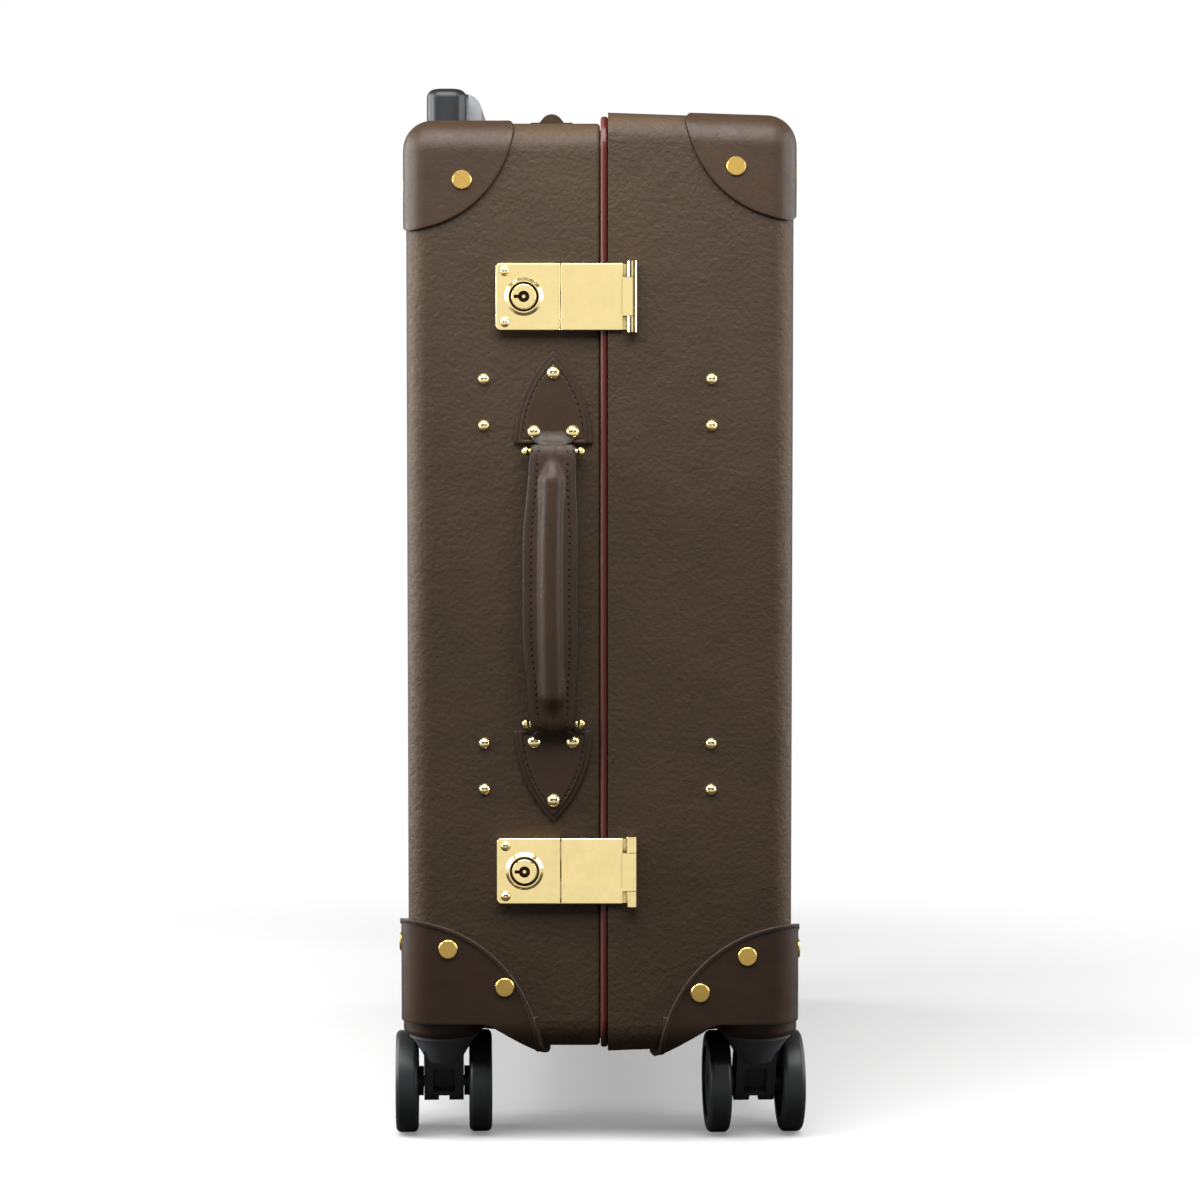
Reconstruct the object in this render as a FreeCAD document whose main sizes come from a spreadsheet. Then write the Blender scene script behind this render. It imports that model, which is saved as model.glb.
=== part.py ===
import FreeCAD
import Part

import os
import re

# Carry-on suitcase: two pressed fibre trays hinged along one long side, leather top corners,
# moulded base guards, two key locks, two leather handles, a telescopic trolley and four casters.
# Frame: X from the back tray (-X) to the front tray (+X), Y from the lock side (-Y) to the hinge
# side (+Y), Z up from the floor. Lengths in millimetres, angles in degrees.

DIMENSIONS = (
    ("case_width", 394, "fibre width from the lock side to the hinge side"),
    ("back_depth", 102.4, "back tray, seam to rear face"),
    ("back_bottom", 52.3, "underside of the back tray above the floor"),
    ("back_top", 543, "top of the back tray above the floor"),
    ("wall", 3, "fibre thickness"),
    ("corner_radius", 16, "radius of the four corners seen from the front"),
    ("edge_radius", 14, "radius between the sides and the large face"),
    ("rim_radius", 2, "rounding of the back tray's rim"),
    ("band_width", 4.2, "edge band between the trays"),
    ("band_side", 2, "edge band proud of the back tray at the sides"),
    ("band_above", 3.7, "edge band proud of the back tray at the top"),
    ("band_below", 1, "edge band proud of the back tray underneath"),
    ("band_round", 1.5, "rounding of the edge band"),
    ("seam_gap", 0.3, "gap between the back tray and the edge band"),
    ("tongue_reach", 10, "tongue of the edge band inside the back tray"),
    ("tongue_gap", 0.6, "clearance round the tongue"),
    ("tongue_wall", 2, "thickness of the tongue"),
    ("front_depth", 98, "front tray, edge band to front face"),
    ("front_side", 3, "front tray proud of the back tray at the sides"),
    ("front_above", 5.4, "front tray proud of the back tray at the top"),
    ("front_below", 2.4, "front tray proud of the back tray underneath"),
    ("front_draft", 1.8, "draft angle of the front tray"),
    ("skin", 1.6, "leather corner thickness"),
    ("guard_skin", 3.9, "base guard thickness"),
    ("corner_reach", 59, "reach of a top corner from the box corner"),
    ("guard_reach", 74.5, "reach of a base guard from the box corner"),
    ("guard_collar", 57.6, "radius of a base guard round its wheel well"),
    ("liner", 1.2, "lining thickness"),
    ("liner_rim", 12, "lining edge behind the seam"),
    ("panel_depth", 65, "lining edge to the false panel over the trolley"),
    ("panel_edge", 8, "rounding of the lining at the false panel"),
    ("caster_x", 84.3, "swivel axes from the seam"),
    ("caster_y", 172, "swivel axes from the middle of the width"),
    ("well_floor", 45, "lower end of the well cone"),
    ("well_roof", 67, "ceiling of a wheel well"),
    ("well_mouth", 60, "radius of the well cone at its lower end"),
    ("well_crown", 38, "radius of the well cone at its ceiling"),
    ("well_round", 7, "rounding at the well ceiling"),
    ("lip_width", 2, "raised lip along a base guard's edge"),
    ("lip_rise", 0.6, "height of that lip over the guard"),
    ("flat_head", 5, "flat rivet head radius"),
    ("flat_height", 1.2, "flat rivet head height"),
    ("flat_bevel", 0.4, "flat rivet head bevel"),
    ("strap_head", 3.25, "strap rivet dome radius"),
    ("lock_head", 2.7, "lock rivet dome radius"),
    ("chape_head", 3.75, "handle rivet dome radius"),
    ("hinge_head", 2.4, "hinge rivet dome radius"),
    ("dome_share", 0.7, "dome height over dome radius"),
    ("shank_share", 0.45, "rivet shank radius over head radius"),
    ("shank_length", 6, "rivet shank below its head"),
    ("back_corner_rivet_x", 72.2, "top corner rivet from the seam, back"),
    ("back_corner_rivet_z", 512, "top corner rivet height, back"),
    ("front_corner_rivet_x", 71.1, "top corner rivet from the seam, front"),
    ("front_corner_rivet_z", 519, "top corner rivet height, front"),
    ("corner_rivet_y", 164, "top corner rivets from the middle of the width"),
    ("back_guard_rivet_high", 107.3, "upper base guard rivet height, back"),
    ("back_guard_rivet_low", 87, "lower base guard rivet height, back"),
    ("back_guard_rivet_out", 80.4, "upper base guard rivet from the seam, back"),
    ("back_guard_rivet_in", 50.4, "lower base guard rivet from the seam, back"),
    ("front_guard_rivet_high", 103.6, "upper base guard rivet height, front"),
    ("front_guard_rivet_low", 84.3, "lower base guard rivet height, front"),
    ("front_guard_rivet_out", 78, "upper base guard rivet from the seam, front"),
    ("front_guard_rivet_in", 53, "lower base guard rivet from the seam, front"),
    ("guard_rivet_y", 176, "upper base guard rivet on the large face, from the middle"),
    ("guard_rivet_y_in", 148, "lower base guard rivet on the large face, from the middle"),
    ("strap_x_back", 61, "back strap rivets from the seam"),
    ("strap_x_front", 58.7, "front strap rivets from the seam"),
    ("strap_high", 396, "upper packing strap height"),
    ("strap_low", 204, "lower packing strap height"),
    ("strap_pitch", 24.4, "spacing of the two rivets of a strap end"),
    ("strap_width", 38, "packing strap width"),
    ("strap_web", 1.3, "packing strap thickness"),
    ("strap_end", 42, "free end of a packing strap from the seam"),
    ("buckle_length", 44, "strap buckle length along the strap"),
    ("buckle_width", 50, "strap buckle across the strap"),
    ("buckle_bar", 5, "strap buckle frame bar"),
    ("buckle_thick", 3, "strap buckle thickness"),
    ("lock_upper", 451, "upper lock height"),
    ("lock_lower", 149, "lower lock height"),
    ("lock_left", 54.5, "lock case outer end from the seam"),
    ("lock_right", 20.9, "lock case inner end from the seam"),
    ("lock_height", 35, "lock case height"),
    ("lock_depth", 5.2, "lock case proud of the fibre"),
    ("lock_plate", 1.2, "lock case sheet thickness"),
    ("lock_round", 2.5, "lock case corner radius"),
    ("plate_edge", 0.6, "rounding of the lock case and hasp edges"),
    ("lock_base", 0.6, "lock base plate thickness"),
    ("lock_base_end", 2, "lock base plate end from the seam"),
    ("lock_rivet_x", 49.8, "lock rivets from the seam"),
    ("lock_rivet_z", 13.3, "lock rivets above and below the lock centre"),
    ("barrel_x", 39.8, "key barrel axis from the seam"),
    ("barrel_radius", 5.5, "key barrel in the lock case"),
    ("barrel_head", 6.4, "key barrel head radius"),
    ("barrel_rise", 2.4, "key barrel head height over the lock case"),
    ("barrel_play", 0.1, "running clearance of the key barrel"),
    ("collar_radius", 10, "dished collar round the key barrel"),
    ("collar_crest", 8.4, "radius of the collar's crest"),
    ("collar_rise", 1.4, "collar height"),
    ("collar_lip", 0.5, "width of the collar's crest"),
    ("dish_gap", 0.3, "gap between the key barrel head and its dish"),
    ("keyhole_radius", 3, "keyhole radius"),
    ("keyhole_slot", 1.8, "keyhole slot width"),
    ("keyhole_reach", 5.2, "keyhole slot reach from the axis"),
    ("key_pin", 0.9, "pin in the middle of the keyhole, radius"),
    ("crank_radius", 3, "crank pin of the key barrel from its axis"),
    ("crank_pin", 1, "crank pin radius"),
    ("cam_radius", 4.5, "disc that carries the crank pin"),
    ("cam_thick", 0.6, "thickness of that disc"),
    ("bolt_rest", 19.6, "bolt tip from the seam when unlocked"),
    ("bolt_tail", 47, "bolt tail from the seam when unlocked"),
    ("bolt_shoulder", 27, "bolt shoulder from the seam when unlocked"),
    ("bolt_thick", 1.5, "bolt thickness"),
    ("bolt_head", 8, "bolt head height"),
    ("bolt_body", 14, "bolt body height"),
    ("bolt_level", 1.4, "bolt underside above the fibre"),
    ("bolt_play", 0.3, "clearance round the bolt"),
    ("hasp_end", 20.5, "hasp free end from the seam"),
    ("hasp_thick", 1.2, "hasp thickness"),
    ("hasp_hinge_x", 16.8, "hasp hinge axis from the seam"),
    ("hasp_hinge_y", 5.9, "hasp hinge axis proud of the back tray"),
    ("hasp_knuckle", 3, "hasp knuckle radius"),
    ("hasp_bore", 0.95, "hasp knuckle bore radius"),
    ("hasp_pin", 0.9, "hasp hinge pin radius"),
    ("hasp_middle", 20, "hasp knuckle length"),
    ("hasp_gap", 0.3, "gap between hasp knuckles"),
    ("hasp_notch", 2, "notch between the hasp and the leaf's knuckles"),
    ("leaf_height", 37, "hasp leaf height over its knuckles"),
    ("leaf_plate", 34, "hasp leaf height beside them"),
    ("leaf_start", 4.8, "hasp leaf edge from the seam"),
    ("leaf_level", 3.6, "hasp leaf face proud of the back tray"),
    ("staple_left", 18.9, "hasp staple from the seam"),
    ("staple_thick", 2.4, "hasp staple thickness"),
    ("staple_width", 13, "hasp staple height"),
    ("staple_foot", 1, "hasp staple foot above the fibre"),
    ("handle_x", 24.5, "side handle from the seam"),
    ("handle_z", 298.8, "middle of the side handle"),
    ("top_handle_x", 27, "top handle from the seam"),
    ("pin_half", 71.5, "handle pins from the middle of the handle"),
    ("pin_level", 6.4, "handle pin axis above the fibre"),
    ("pin_radius", 1.6, "handle pin radius"),
    ("pin_reach", 14.5, "handle pin half length"),
    ("pin_ball", 2.4, "handle pin ball end radius"),
    ("chape_base", 75.6, "chape base line from the middle of the handle"),
    ("chape_half", 20.5, "chape half width"),
    ("chape_length", 48.5, "chape length to its point"),
    ("chape_inset", 2.5, "upper leather layer inside the lower one"),
    ("chape_lower", 1.8, "lower leather layer"),
    ("chape_upper", 1.5, "upper leather layer"),
    ("chape_ear", 12, "chape loop width"),
    ("chape_loop", 3.1, "chape loop radius"),
    ("chape_rivet_far", 37, "single handle rivet from the base line"),
    ("chape_rivet_near", 6, "paired handle rivets from the base line"),
    ("chape_rivet_x", 10.2, "paired handle rivets from the middle"),
    ("grip_crown", 16, "middle of the grip above the fibre"),
    ("grip_end", 11.4, "middle of the grip above the fibre at the pins"),
    ("grip_roll", 6.5, "radius of the grip's roll"),
    ("grip_roll_half", 57, "half length of the grip's roll"),
    ("grip_width", 28, "grip width over its stitched edges"),
    ("grip_edge", 3, "thickness of the grip's stitched edges"),
    ("grip_over", 3.5, "grip beyond the pins"),
    ("grip_ear", 24, "width over the grip's loops"),
    ("grip_slack", 2.8, "slack of the grip's loops"),
    ("grip_play", 0.1, "clearance of the grip's loops on the pins"),
    ("grip_gap", 0.4, "gap between grip loops and chape loop"),
    ("loop_radius", 3.1, "radius of the grip's loops"),
    ("tube_x", 86.4, "trolley tubes from the seam"),
    ("tube_y", 66, "trolley tubes from the middle of the width"),
    ("tube_deep", 13, "outer tube depth"),
    ("tube_wide", 18, "outer tube width"),
    ("tube_round", 4, "outer tube corner radius"),
    ("tube_wall", 1, "tube wall"),
    ("tube_play", 0.2, "clearance between tubes"),
    ("tube_foot", 66, "lower end of the outer tubes"),
    ("tube_top", 548, "upper end of the outer tubes, flush with the bezel"),
    ("tube_lip", 0.5, "middle tubes above the outer tubes when closed"),
    ("tube_stagger", 8, "each inner stage starts this much higher"),
    ("tube_sunk", 4, "inner tubes end this much below the button"),
    ("foot_height", 20, "trolley foot height"),
    ("foot_half", 80, "trolley foot half width"),
    ("foot_front", 78, "trolley foot front face from the seam"),
    ("bezel_top", 548, "top of the trolley bezel"),
    ("bezel_deep", 32, "trolley bezel depth"),
    ("bezel_half", 94, "trolley bezel half width"),
    ("bezel_back", 98, "trolley bezel rear edge from the seam"),
    ("bezel_skirt", 16, "trolley bezel block height before it is fitted to the tray"),
    ("bezel_round", 8, "trolley bezel corner radius"),
    ("bezel_edge", 2, "trolley bezel edge rounding"),
    ("grip_bottom", 549, "underside of the trolley grip"),
    ("grip_top", 574, "top of the trolley grip"),
    ("grip_deep", 22.6, "trolley grip depth at its ends"),
    ("grip_half", 86, "trolley grip half width"),
    ("grip_corner", 9, "trolley grip corner radius"),
    ("grip_soft", 5, "trolley grip edge rounding"),
    ("swell_half", 56, "palm swell half width"),
    ("swell_front", 67.8, "palm swell front from the seam"),
    ("swell_deep", 24, "palm swell depth"),
    ("swell_round", 9, "palm swell rounding"),
    ("swell_lift", 2, "palm swell above the grip's underside"),
    ("finger_half", 50, "finger recess half width"),
    ("finger_rise", 8, "finger recess height"),
    ("button_deep", 10, "button depth"),
    ("button_wide", 32, "button width"),
    ("button_proud", 1.5, "button above the grip"),
    ("button_height", 6.5, "button height"),
    ("button_stroke", 2.5, "button stroke"),
    ("button_play", 0.3, "clearance round the button"),
    ("hinge_x", 2.1, "case hinge axis from the seam"),
    ("hinge_y", 6, "case hinge axis proud of the back tray"),
    ("hinge_radius", 3.3, "case hinge knuckle radius"),
    ("hinge_pin", 1.5, "case hinge pin radius"),
    ("hinge_play", 0.06, "running clearance of the case hinge"),
    ("hinge_height", 44, "case hinge height"),
    ("hinge_middle", 15, "front knuckle length"),
    ("hinge_gap", 0.3, "gap between case hinge knuckles"),
    ("hinge_leaf", 26, "case hinge leaf reach from the seam"),
    ("hinge_sheet", 1.6, "case hinge leaf thickness"),
    ("hinge_root", 6, "case hinge block reach from the seam"),
    ("hinge_clear", 7, "front leaf edge beside the back knuckles, from the seam"),
    ("hinge_spacing", 165, "spacing of the case hinges"),
    ("hinge_centre", 300, "height of the middle case hinge"),
    ("hinge_rivet", 14.7, "hinge rivets above and below the middle of a hinge"),
    ("cup_radius", 21.6, "caster cup radius"),
    ("cup_bottom", 57.5, "underside of a caster cup"),
    ("cup_round", 3, "caster cup rounding"),
    ("caster_yaw", 3, "rest direction of the casters"),
    ("stem_radius", 5, "caster stem radius"),
    ("stem_play", 0.08, "running clearance of the caster stem"),
    ("stem_top", 66, "upper end of the caster stem"),
    ("disc_radius", 18.4, "caster disc radius"),
    ("disc_thick", 1.5, "caster disc thickness"),
    ("disc_gap", 0.3, "gap between disc and cup"),
    ("neck_bottom", 42, "lower end of the fork's neck"),
    ("neck_radius", 9, "lower radius of the fork's neck"),
    ("neck_step", 1, "caster disc proud of the fork's neck"),
    ("trail", 15, "axle behind the swivel axis"),
    ("wheel_radius", 27.5, "wheel radius"),
    ("wheel_inner", 13.8, "inner face of a wheel from the fork's middle"),
    ("wheel_width", 12.2, "wheel width"),
    ("wheel_round", 3, "rounding of the tread"),
    ("wheel_play", 0.9, "clearance round a wheel in the fork"),
    ("wheel_dish", 19.5, "radius of the wheel's dished faces"),
    ("wheel_dish_depth", 1.3, "depth of the outer dish"),
    ("wheel_hollow_depth", 4, "depth of the inner hollow"),
    ("hub_radius", 8, "wheel hub radius"),
    ("hub_gap", 0.3, "gap between hub and fork"),
    ("rib_thick", 2, "wheel rib thickness"),
    ("rib_inset", 1, "wheel ribs behind the inner face"),
    ("axle_radius", 3, "axle radius"),
    ("axle_half", 24.4, "axle half length"),
    ("axle_play", 0.08, "running clearance of a wheel on its axle"),
    ("fork_width", 21.4, "fork width"),
    ("fork_radius", 10.5, "radius of the fork's end round the axle"),
    ("fork_lean", 27.8, "lean of the fork's arm"),
    ("fork_window", 12, "width of the fork's front recess"),
    ("fork_recess", 5, "depth of the fork's front recess"),
    ("fork_opening", 16.8, "height of the fork's front recess"),
    ("fork_notch", 5.6, "width between the fork's feet"),
    ("fork_cleft", 4, "height of the cleft between the fork's feet"),
    ("overshoot", 1, "cutters run this far past the faces that they open"),
)

ALIASES = {alias for alias, value, meaning in DIMENSIONS}
WHEEL_RIBS = 3
FACING = {
    "up": FreeCAD.Rotation(),
    "lock": FreeCAD.Rotation(FreeCAD.Vector(1, 0, 0), 90),
    "hinge": FreeCAD.Rotation(FreeCAD.Vector(1, 0, 0), -90),
    "back": FreeCAD.Rotation(FreeCAD.Vector(0, 1, 0), -90),
    "front": FreeCAD.Rotation(FreeCAD.Vector(0, 1, 0), 90),
}

doc = FreeCAD.newDocument("carry_on_suitcase")
sheet = doc.addObject("Spreadsheet::Sheet", "dims")
for row, (alias, value, meaning) in enumerate(DIMENSIONS, start=1):
    sheet.set(f"A{row}", meaning)
    sheet.set(f"B{row}", str(value))
    sheet.setAlias(f"B{row}", alias)
doc.recompute()


def cells(formula):
    """A formula over the aliases, written as the sheet's own references."""
    return re.sub(r"[a-z][a-z_]*", lambda word: f"dims.{word[0]}" if word[0] in ALIASES else word[0], formula)


def size(alias):
    return float(sheet.get(alias))


def bind(item, formulas):
    for path, formula in formulas.items():
        item.setExpression(path, cells(formula))
    return item


def at(x, y, z):
    return {"Placement.Base.x": x, "Placement.Base.y": y, "Placement.Base.z": z}


def box(name, start, lengths):
    item = doc.addObject("Part::Box", name)
    return bind(item, {"Length": lengths[0], "Width": lengths[1], "Height": lengths[2], **at(*start)})


def cylinder(name, start, radius, height, facing="up"):
    item = doc.addObject("Part::Cylinder", name)
    item.Placement.Rotation = FACING[facing]
    return bind(item, {"Radius": radius, "Height": height, **at(*start)})


def cone(name, start, first, second, height, facing="up"):
    item = doc.addObject("Part::Cone", name)
    item.Placement.Rotation = FACING[facing]
    return bind(item, {"Radius1": first, "Radius2": second, "Height": height, **at(*start)})


def sphere(name, centre, radius):
    return bind(doc.addObject("Part::Sphere", name), {"Radius": radius, **at(*centre)})


def cut(name, base, *tools):
    item = base
    for number, tool in enumerate(tools, start=1):
        step = doc.addObject("Part::Cut", name if number == len(tools) else f"{name}_cut{number}")
        step.Base = item
        step.Tool = tool
        item = step
    return item


def joined(kind, name, items):
    item = doc.addObject(kind, name)
    if kind == "Part::Compound":
        item.Links = list(items)
    else:
        item.Shapes = list(items)
    return item


def fuse(name, *items):
    return joined("Part::MultiFuse", name, items)


def common(name, *items):
    return joined("Part::MultiCommon", name, items)


def group(name, *items):
    return joined("Part::Compound", name, items)


def mirrored(name, source, normal=(0, 1, 0)):
    item = doc.addObject("Part::Mirroring", name)
    item.Source = source
    item.Normal = FreeCAD.Vector(*normal)
    return item


def placed(name, source, place, rotation=FACING["up"]):
    item = group(name, source)
    item.Placement.Rotation = rotation
    return bind(item, at(*place))


def rounded(name, source, alias, choose):
    """A fillet, with its radius from the sheet, on the edges that choose() accepts."""
    doc.recompute()
    item = doc.addObject("Part::Fillet", name)
    item.Base = source
    radius = size(alias)
    edges = enumerate(source.Shape.Edges, start=1)
    item.Edges = [(number, radius, radius) for number, edge in edges if choose(edge)]
    doc.recompute()
    return item


def along(edge, axis):
    direction = edge.tangentAt(edge.FirstParameter)
    return len(edge.Vertexes) == 2 and abs(direction.dot(FreeCAD.Vector(*axis))) > 0.99


def level(edge, axis, height):
    return all(abs(point.Point.dot(FreeCAD.Vector(*axis)) - height) < 1e-4 for point in edge.Vertexes)


def tray(name, side, grow="0", depth=None, edge="edge_radius", rim=None, rim_edge=None, section=None):
    """A solid tray of one side of the case, grown on every face but its rim."""
    sense = {"back": -1, "front": 1}[side]
    sections = {
        "back": ("0", "case_width", "back_bottom", "back_top", "corner_radius"),
        "front": ("band_width", "case_width + 2 * front_side", "back_bottom - front_below",
                  "back_top + front_above", "corner_radius"),
        "band": ("seam_gap", "case_width + 2 * band_side", "back_bottom - band_below",
                 "back_top + band_above", "corner_radius + band_side"),
    }
    seat, width, bottom, top, corner = sections[section or side]
    width = f"{width} + 2 * ({grow})"
    height = f"({top} - ({bottom}) + 2 * ({grow}))"
    depth = depth or f"{side}_depth + {grow}"
    body = bind(doc.addObject("PartDesign::Body", name), at(rim or seat, "0", f"({bottom} + {top}) / 2"))
    block = body.newObject("PartDesign::AdditiveBox", f"{name}_block")
    start = "0" if sense > 0 else f"-({depth})"
    bind(block, {"Length": depth, "Width": width, "Height": height,
                 **at(start, f"-({width}) / 2", f"-{height} / 2")})
    doc.recompute()
    feature = block
    if (section or side) == "front":
        faces = feature.Shape.Faces
        sides = [f"Face{n}" for n, face in enumerate(faces, 1) if abs(face.normalAt(0, 0).x) < 0.5]
        seats = [f"Face{n}" for n, face in enumerate(faces, 1) if abs(face.CenterOfMass.x) < 1e-6]
        feature = body.newObject("PartDesign::Draft", f"{name}_draft")
        feature.Base = (block, sides)
        feature.NeutralPlane = (block, seats)
        bind(feature, {"Angle": "front_draft"})
        doc.recompute()
    edges = enumerate(feature.Shape.Edges, 1)
    lengthwise = [f"Edge{n}" for n, line in edges if abs(line.tangentAt(line.FirstParameter).x) > 0.5]
    feature = tray_fillet(body, f"{name}_corners", feature, lengthwise, f"{corner} + {grow}")
    if edge:
        far = [f"Face{n}" for n, face in enumerate(feature.Shape.Faces, 1)
               if face.BoundBox.XLength < 1e-4 and abs(face.CenterOfMass.x) > 1e-3]
        feature = tray_fillet(body, f"{name}_edge", feature, far, f"{edge} + {grow}")
    if rim_edge:
        near = [f"Face{n}" for n, face in enumerate(feature.Shape.Faces, 1)
                if face.BoundBox.XLength < 1e-4 and abs(face.CenterOfMass.x) < 1e-3]
        tray_fillet(body, f"{name}_rim", feature, near, rim_edge)
    return body


def tray_fillet(body, name, base, names, radius):
    feature = body.newObject("PartDesign::Fillet", name)
    feature.Base = (base, names)
    bind(feature, {"Radius": radius})
    doc.recompute()
    return feature


def wells(side, layer, grow):
    """The pair of wheel-well cutters of one tray, grown by the layers that line them."""
    x = {"back": "-caster_x", "front": "caster_x"}[side]
    name = f"{side}_well_{layer}"
    bell = cone(f"{name}_cone", (x, "-caster_y", "well_floor"), f"well_mouth + sqrt(2) * ({grow})",
                f"well_crown + (sqrt(2) - 1) * ({grow})", f"well_roof + {grow} - well_floor")
    doc.recompute()
    roof = bell.Placement.Base.z + float(bell.Height)
    dome = rounded(f"{name}_dome", bell, "well_round", lambda edge: closed_at(edge, roof))
    return group(name, dome, mirrored(f"{name}_far", dome))


def closed_at(edge, height):
    box_of = edge.BoundBox
    return abs(box_of.ZMin - height) < 1e-4 and abs(box_of.ZMax - height) < 1e-4


def rivet_flat():
    """Flat rivet: bevelled disc head on a short shank, head upwards."""
    disc = cylinder("flat_disc", ("0", "0", "0"), "flat_head", "flat_height - flat_bevel")
    bevel = cone("flat_rim", ("0", "0", "flat_height - flat_bevel"), "flat_head", "flat_head - flat_bevel",
                 "flat_bevel")
    shank = cylinder("flat_shank", ("0", "0", "-shank_length"), "shank_share * flat_head", "shank_length")
    return fuse("flat_rivet", disc, bevel, shank)


def rivet_dome(name, head):
    """Domed rivet: spherical cap on a short shank, head upwards."""
    rise = f"(dome_share * {head})"
    ball = f"(({head} ^ 2 + {rise} ^ 2) / (2 * {rise}))"
    cap = doc.addObject("Part::Sphere", f"{name}_cap")
    bind(cap, {"Radius": ball, "Angle1": f"asin(({ball} - {rise}) / {ball})",
               **at("0", "0", f"{rise} - {ball}")})
    shank = cylinder(f"{name}_shank", ("0", "0", "-shank_length"), f"shank_share * {head}", "shank_length")
    return fuse(f"{name}_rivet", cap, shank)


def rivets(name, source, spots):
    """A group of rivets: each spot is a place and the side that its head faces."""
    return [placed(f"{name}_{number}", source, place, FACING[facing])
            for number, (place, facing) in enumerate(spots, start=1)]


def both_sides(x, y, z):
    """The same spot on the lock side and on the hinge side."""
    return [((x, f"-({y})", z), "lock"), ((x, y, z), "hinge")]


def front_face(x):
    """Half width of the front tray's drafted sides at a distance from the seam."""
    return f"(case_width / 2 + front_side - ({x} - band_width) * tan(front_draft))"


def case_half(side):
    """Shell, leather corners, base guards and lining of one tray."""
    sign = {"back": "-", "front": ""}[side]
    bottom = {"back": "back_bottom", "front": "back_bottom - front_below"}[side]
    top = {"back": "back_top", "front": "back_top + front_above"}[side]
    proud = {"back": "0", "front": "front_side"}[side]
    face_x = {"back": "-(back_depth + {})", "front": "band_width + front_depth + {}"}[side]
    rim_edge = {"back": "rim_radius", "front": None}[side]
    outer = tray(f"{side}_outer", side, rim_edge=rim_edge)
    inner = tray(f"{side}_inner", side, "-wall")
    grown = tray(f"{side}_grown", side, "skin")
    coat = tray(f"{side}_coat", side, "guard_skin")
    hull = cut(f"{side}_hull", outer, wells(side, "skin", "guard_skin"))
    room = cut(f"{side}_room", inner, wells(side, "wall", "guard_skin + wall"))
    shell = cut(f"{side}_tray", hull, room)

    high_corner = (face_x.format("skin"), f"-(case_width / 2 + {proud} + skin)", f"{top} + skin")
    top_ball = sphere(f"{side}_corner_ball", high_corner, "corner_reach")
    leather = cut(f"{side}_corner_leather", common(f"{side}_corner_block", grown, top_ball), outer)
    group(f"{side}_top_corners", leather, mirrored(f"{side}_corner_far", leather))

    low_corner = (face_x.format("guard_skin"), f"-(case_width / 2 + {proud} + guard_skin)",
                  f"{bottom} - guard_skin")
    low_ball = sphere(f"{side}_guard_ball", low_corner, "guard_reach")
    collar = cylinder(f"{side}_guard_collar", (f"{sign}caster_x", "-caster_y", "well_floor"),
                      "guard_collar", "well_roof + guard_skin - well_floor")
    region = fuse(f"{side}_guard_region", low_ball, collar)
    plate = common(f"{side}_guard_block", coat, region)
    inside = sphere(f"{side}_lip_ball", low_corner, "guard_reach - lip_width")
    raised = tray(f"{side}_raised", side, "guard_skin + lip_rise")
    lip = cut(f"{side}_guard_lip", common(f"{side}_lip_block", raised, low_ball), inside)
    whole = fuse(f"{side}_guard_whole", plate, lip)
    guard = cut(f"{side}_guard_moulding", whole, wells(side, "open", "0"), hull)
    group(f"{side}_base_guards", guard, mirrored(f"{side}_guard_far", guard))
    return shell, room


def lining(side, room):
    """Cloth-covered lining tray; the back one has a false panel in front of the trolley tubes."""
    layers = ("-wall", "-(wall + liner)", "-(wall + liner + strap_web)")
    rim = {"back": "-liner_rim", "front": None}[side]
    bodies = []
    for number, grow in enumerate(layers):
        depth = f"panel_depth + wall + ({grow})" if side == "back" else None
        edge = "panel_edge + wall" if side == "back" else "edge_radius"
        bodies.append(tray(f"{side}_liner_{number}", side, grow, depth=depth, edge=edge, rim=rim))
    cloth = cut(f"{side}_liner_cloth", bodies[0] if side == "back" else room, bodies[1])
    bumps = wells(side, "liner", "guard_skin + wall + liner")
    pockets = common(f"{side}_liner_bumps", bodies[0], bumps)
    hollows = wells(side, "liner_hollow", "guard_skin + wall")
    cut(f"{side}_lining", fuse(f"{side}_liner_all", cloth, pockets), hollows)
    return cut(f"{side}_strap_layer", bodies[1], bodies[2])


def packing_straps(side, layer):
    """Two flat straps laid in the tray, riveted to its sides, with a buckle in the middle of each."""
    reach = {"back": ("-back_depth", "back_depth - strap_end"),
             "front": ("strap_end", "front_depth - strap_end + band_width")}[side]
    strips = []
    buckles = []
    for part, height in (("high", "strap_high"), ("low", "strap_low")):
        slot = box(f"{side}_strap_slot_{part}", (reach[0], "-case_width", f"{height} - strap_width / 2"),
                   (reach[1], "2 * case_width", "strap_width"))
        strips.append(common(f"{side}_strap_{part}", layer, slot))
        rest = {"back": "-(liner_rim + panel_depth - liner - strap_web)",
                "front": "band_width + front_depth - wall - liner - strap_web - buckle_thick"}[side]
        frame = box(f"{side}_buckle_frame_{part}",
                    (rest, "-buckle_length / 2", f"{height} - buckle_width / 2"),
                    ("buckle_thick", "buckle_length", "buckle_width"))
        soft = rounded(f"{side}_buckle_soft_{part}", frame, "buckle_bar", lambda edge: along(edge, (1, 0, 0)))
        windows = []
        for side_of_bar in ("-", ""):
            start = {"-": "-buckle_length / 2 + buckle_bar", "": "buckle_bar / 2"}[side_of_bar]
            windows.append(box(f"{side}_buckle_window_{part}_{len(windows)}",
                               (f"{rest} - overshoot", start, f"{height} - buckle_width / 2 + buckle_bar"),
                               ("buckle_thick + 2 * overshoot", "buckle_length / 2 - 1.5 * buckle_bar",
                                "buckle_width - 2 * buckle_bar")))
        buckles.append(cut(f"{side}_buckle_{part}", soft, *windows))
    group(f"{side}_packing_straps", *strips)
    group(f"{side}_strap_buckles", *buckles)


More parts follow.
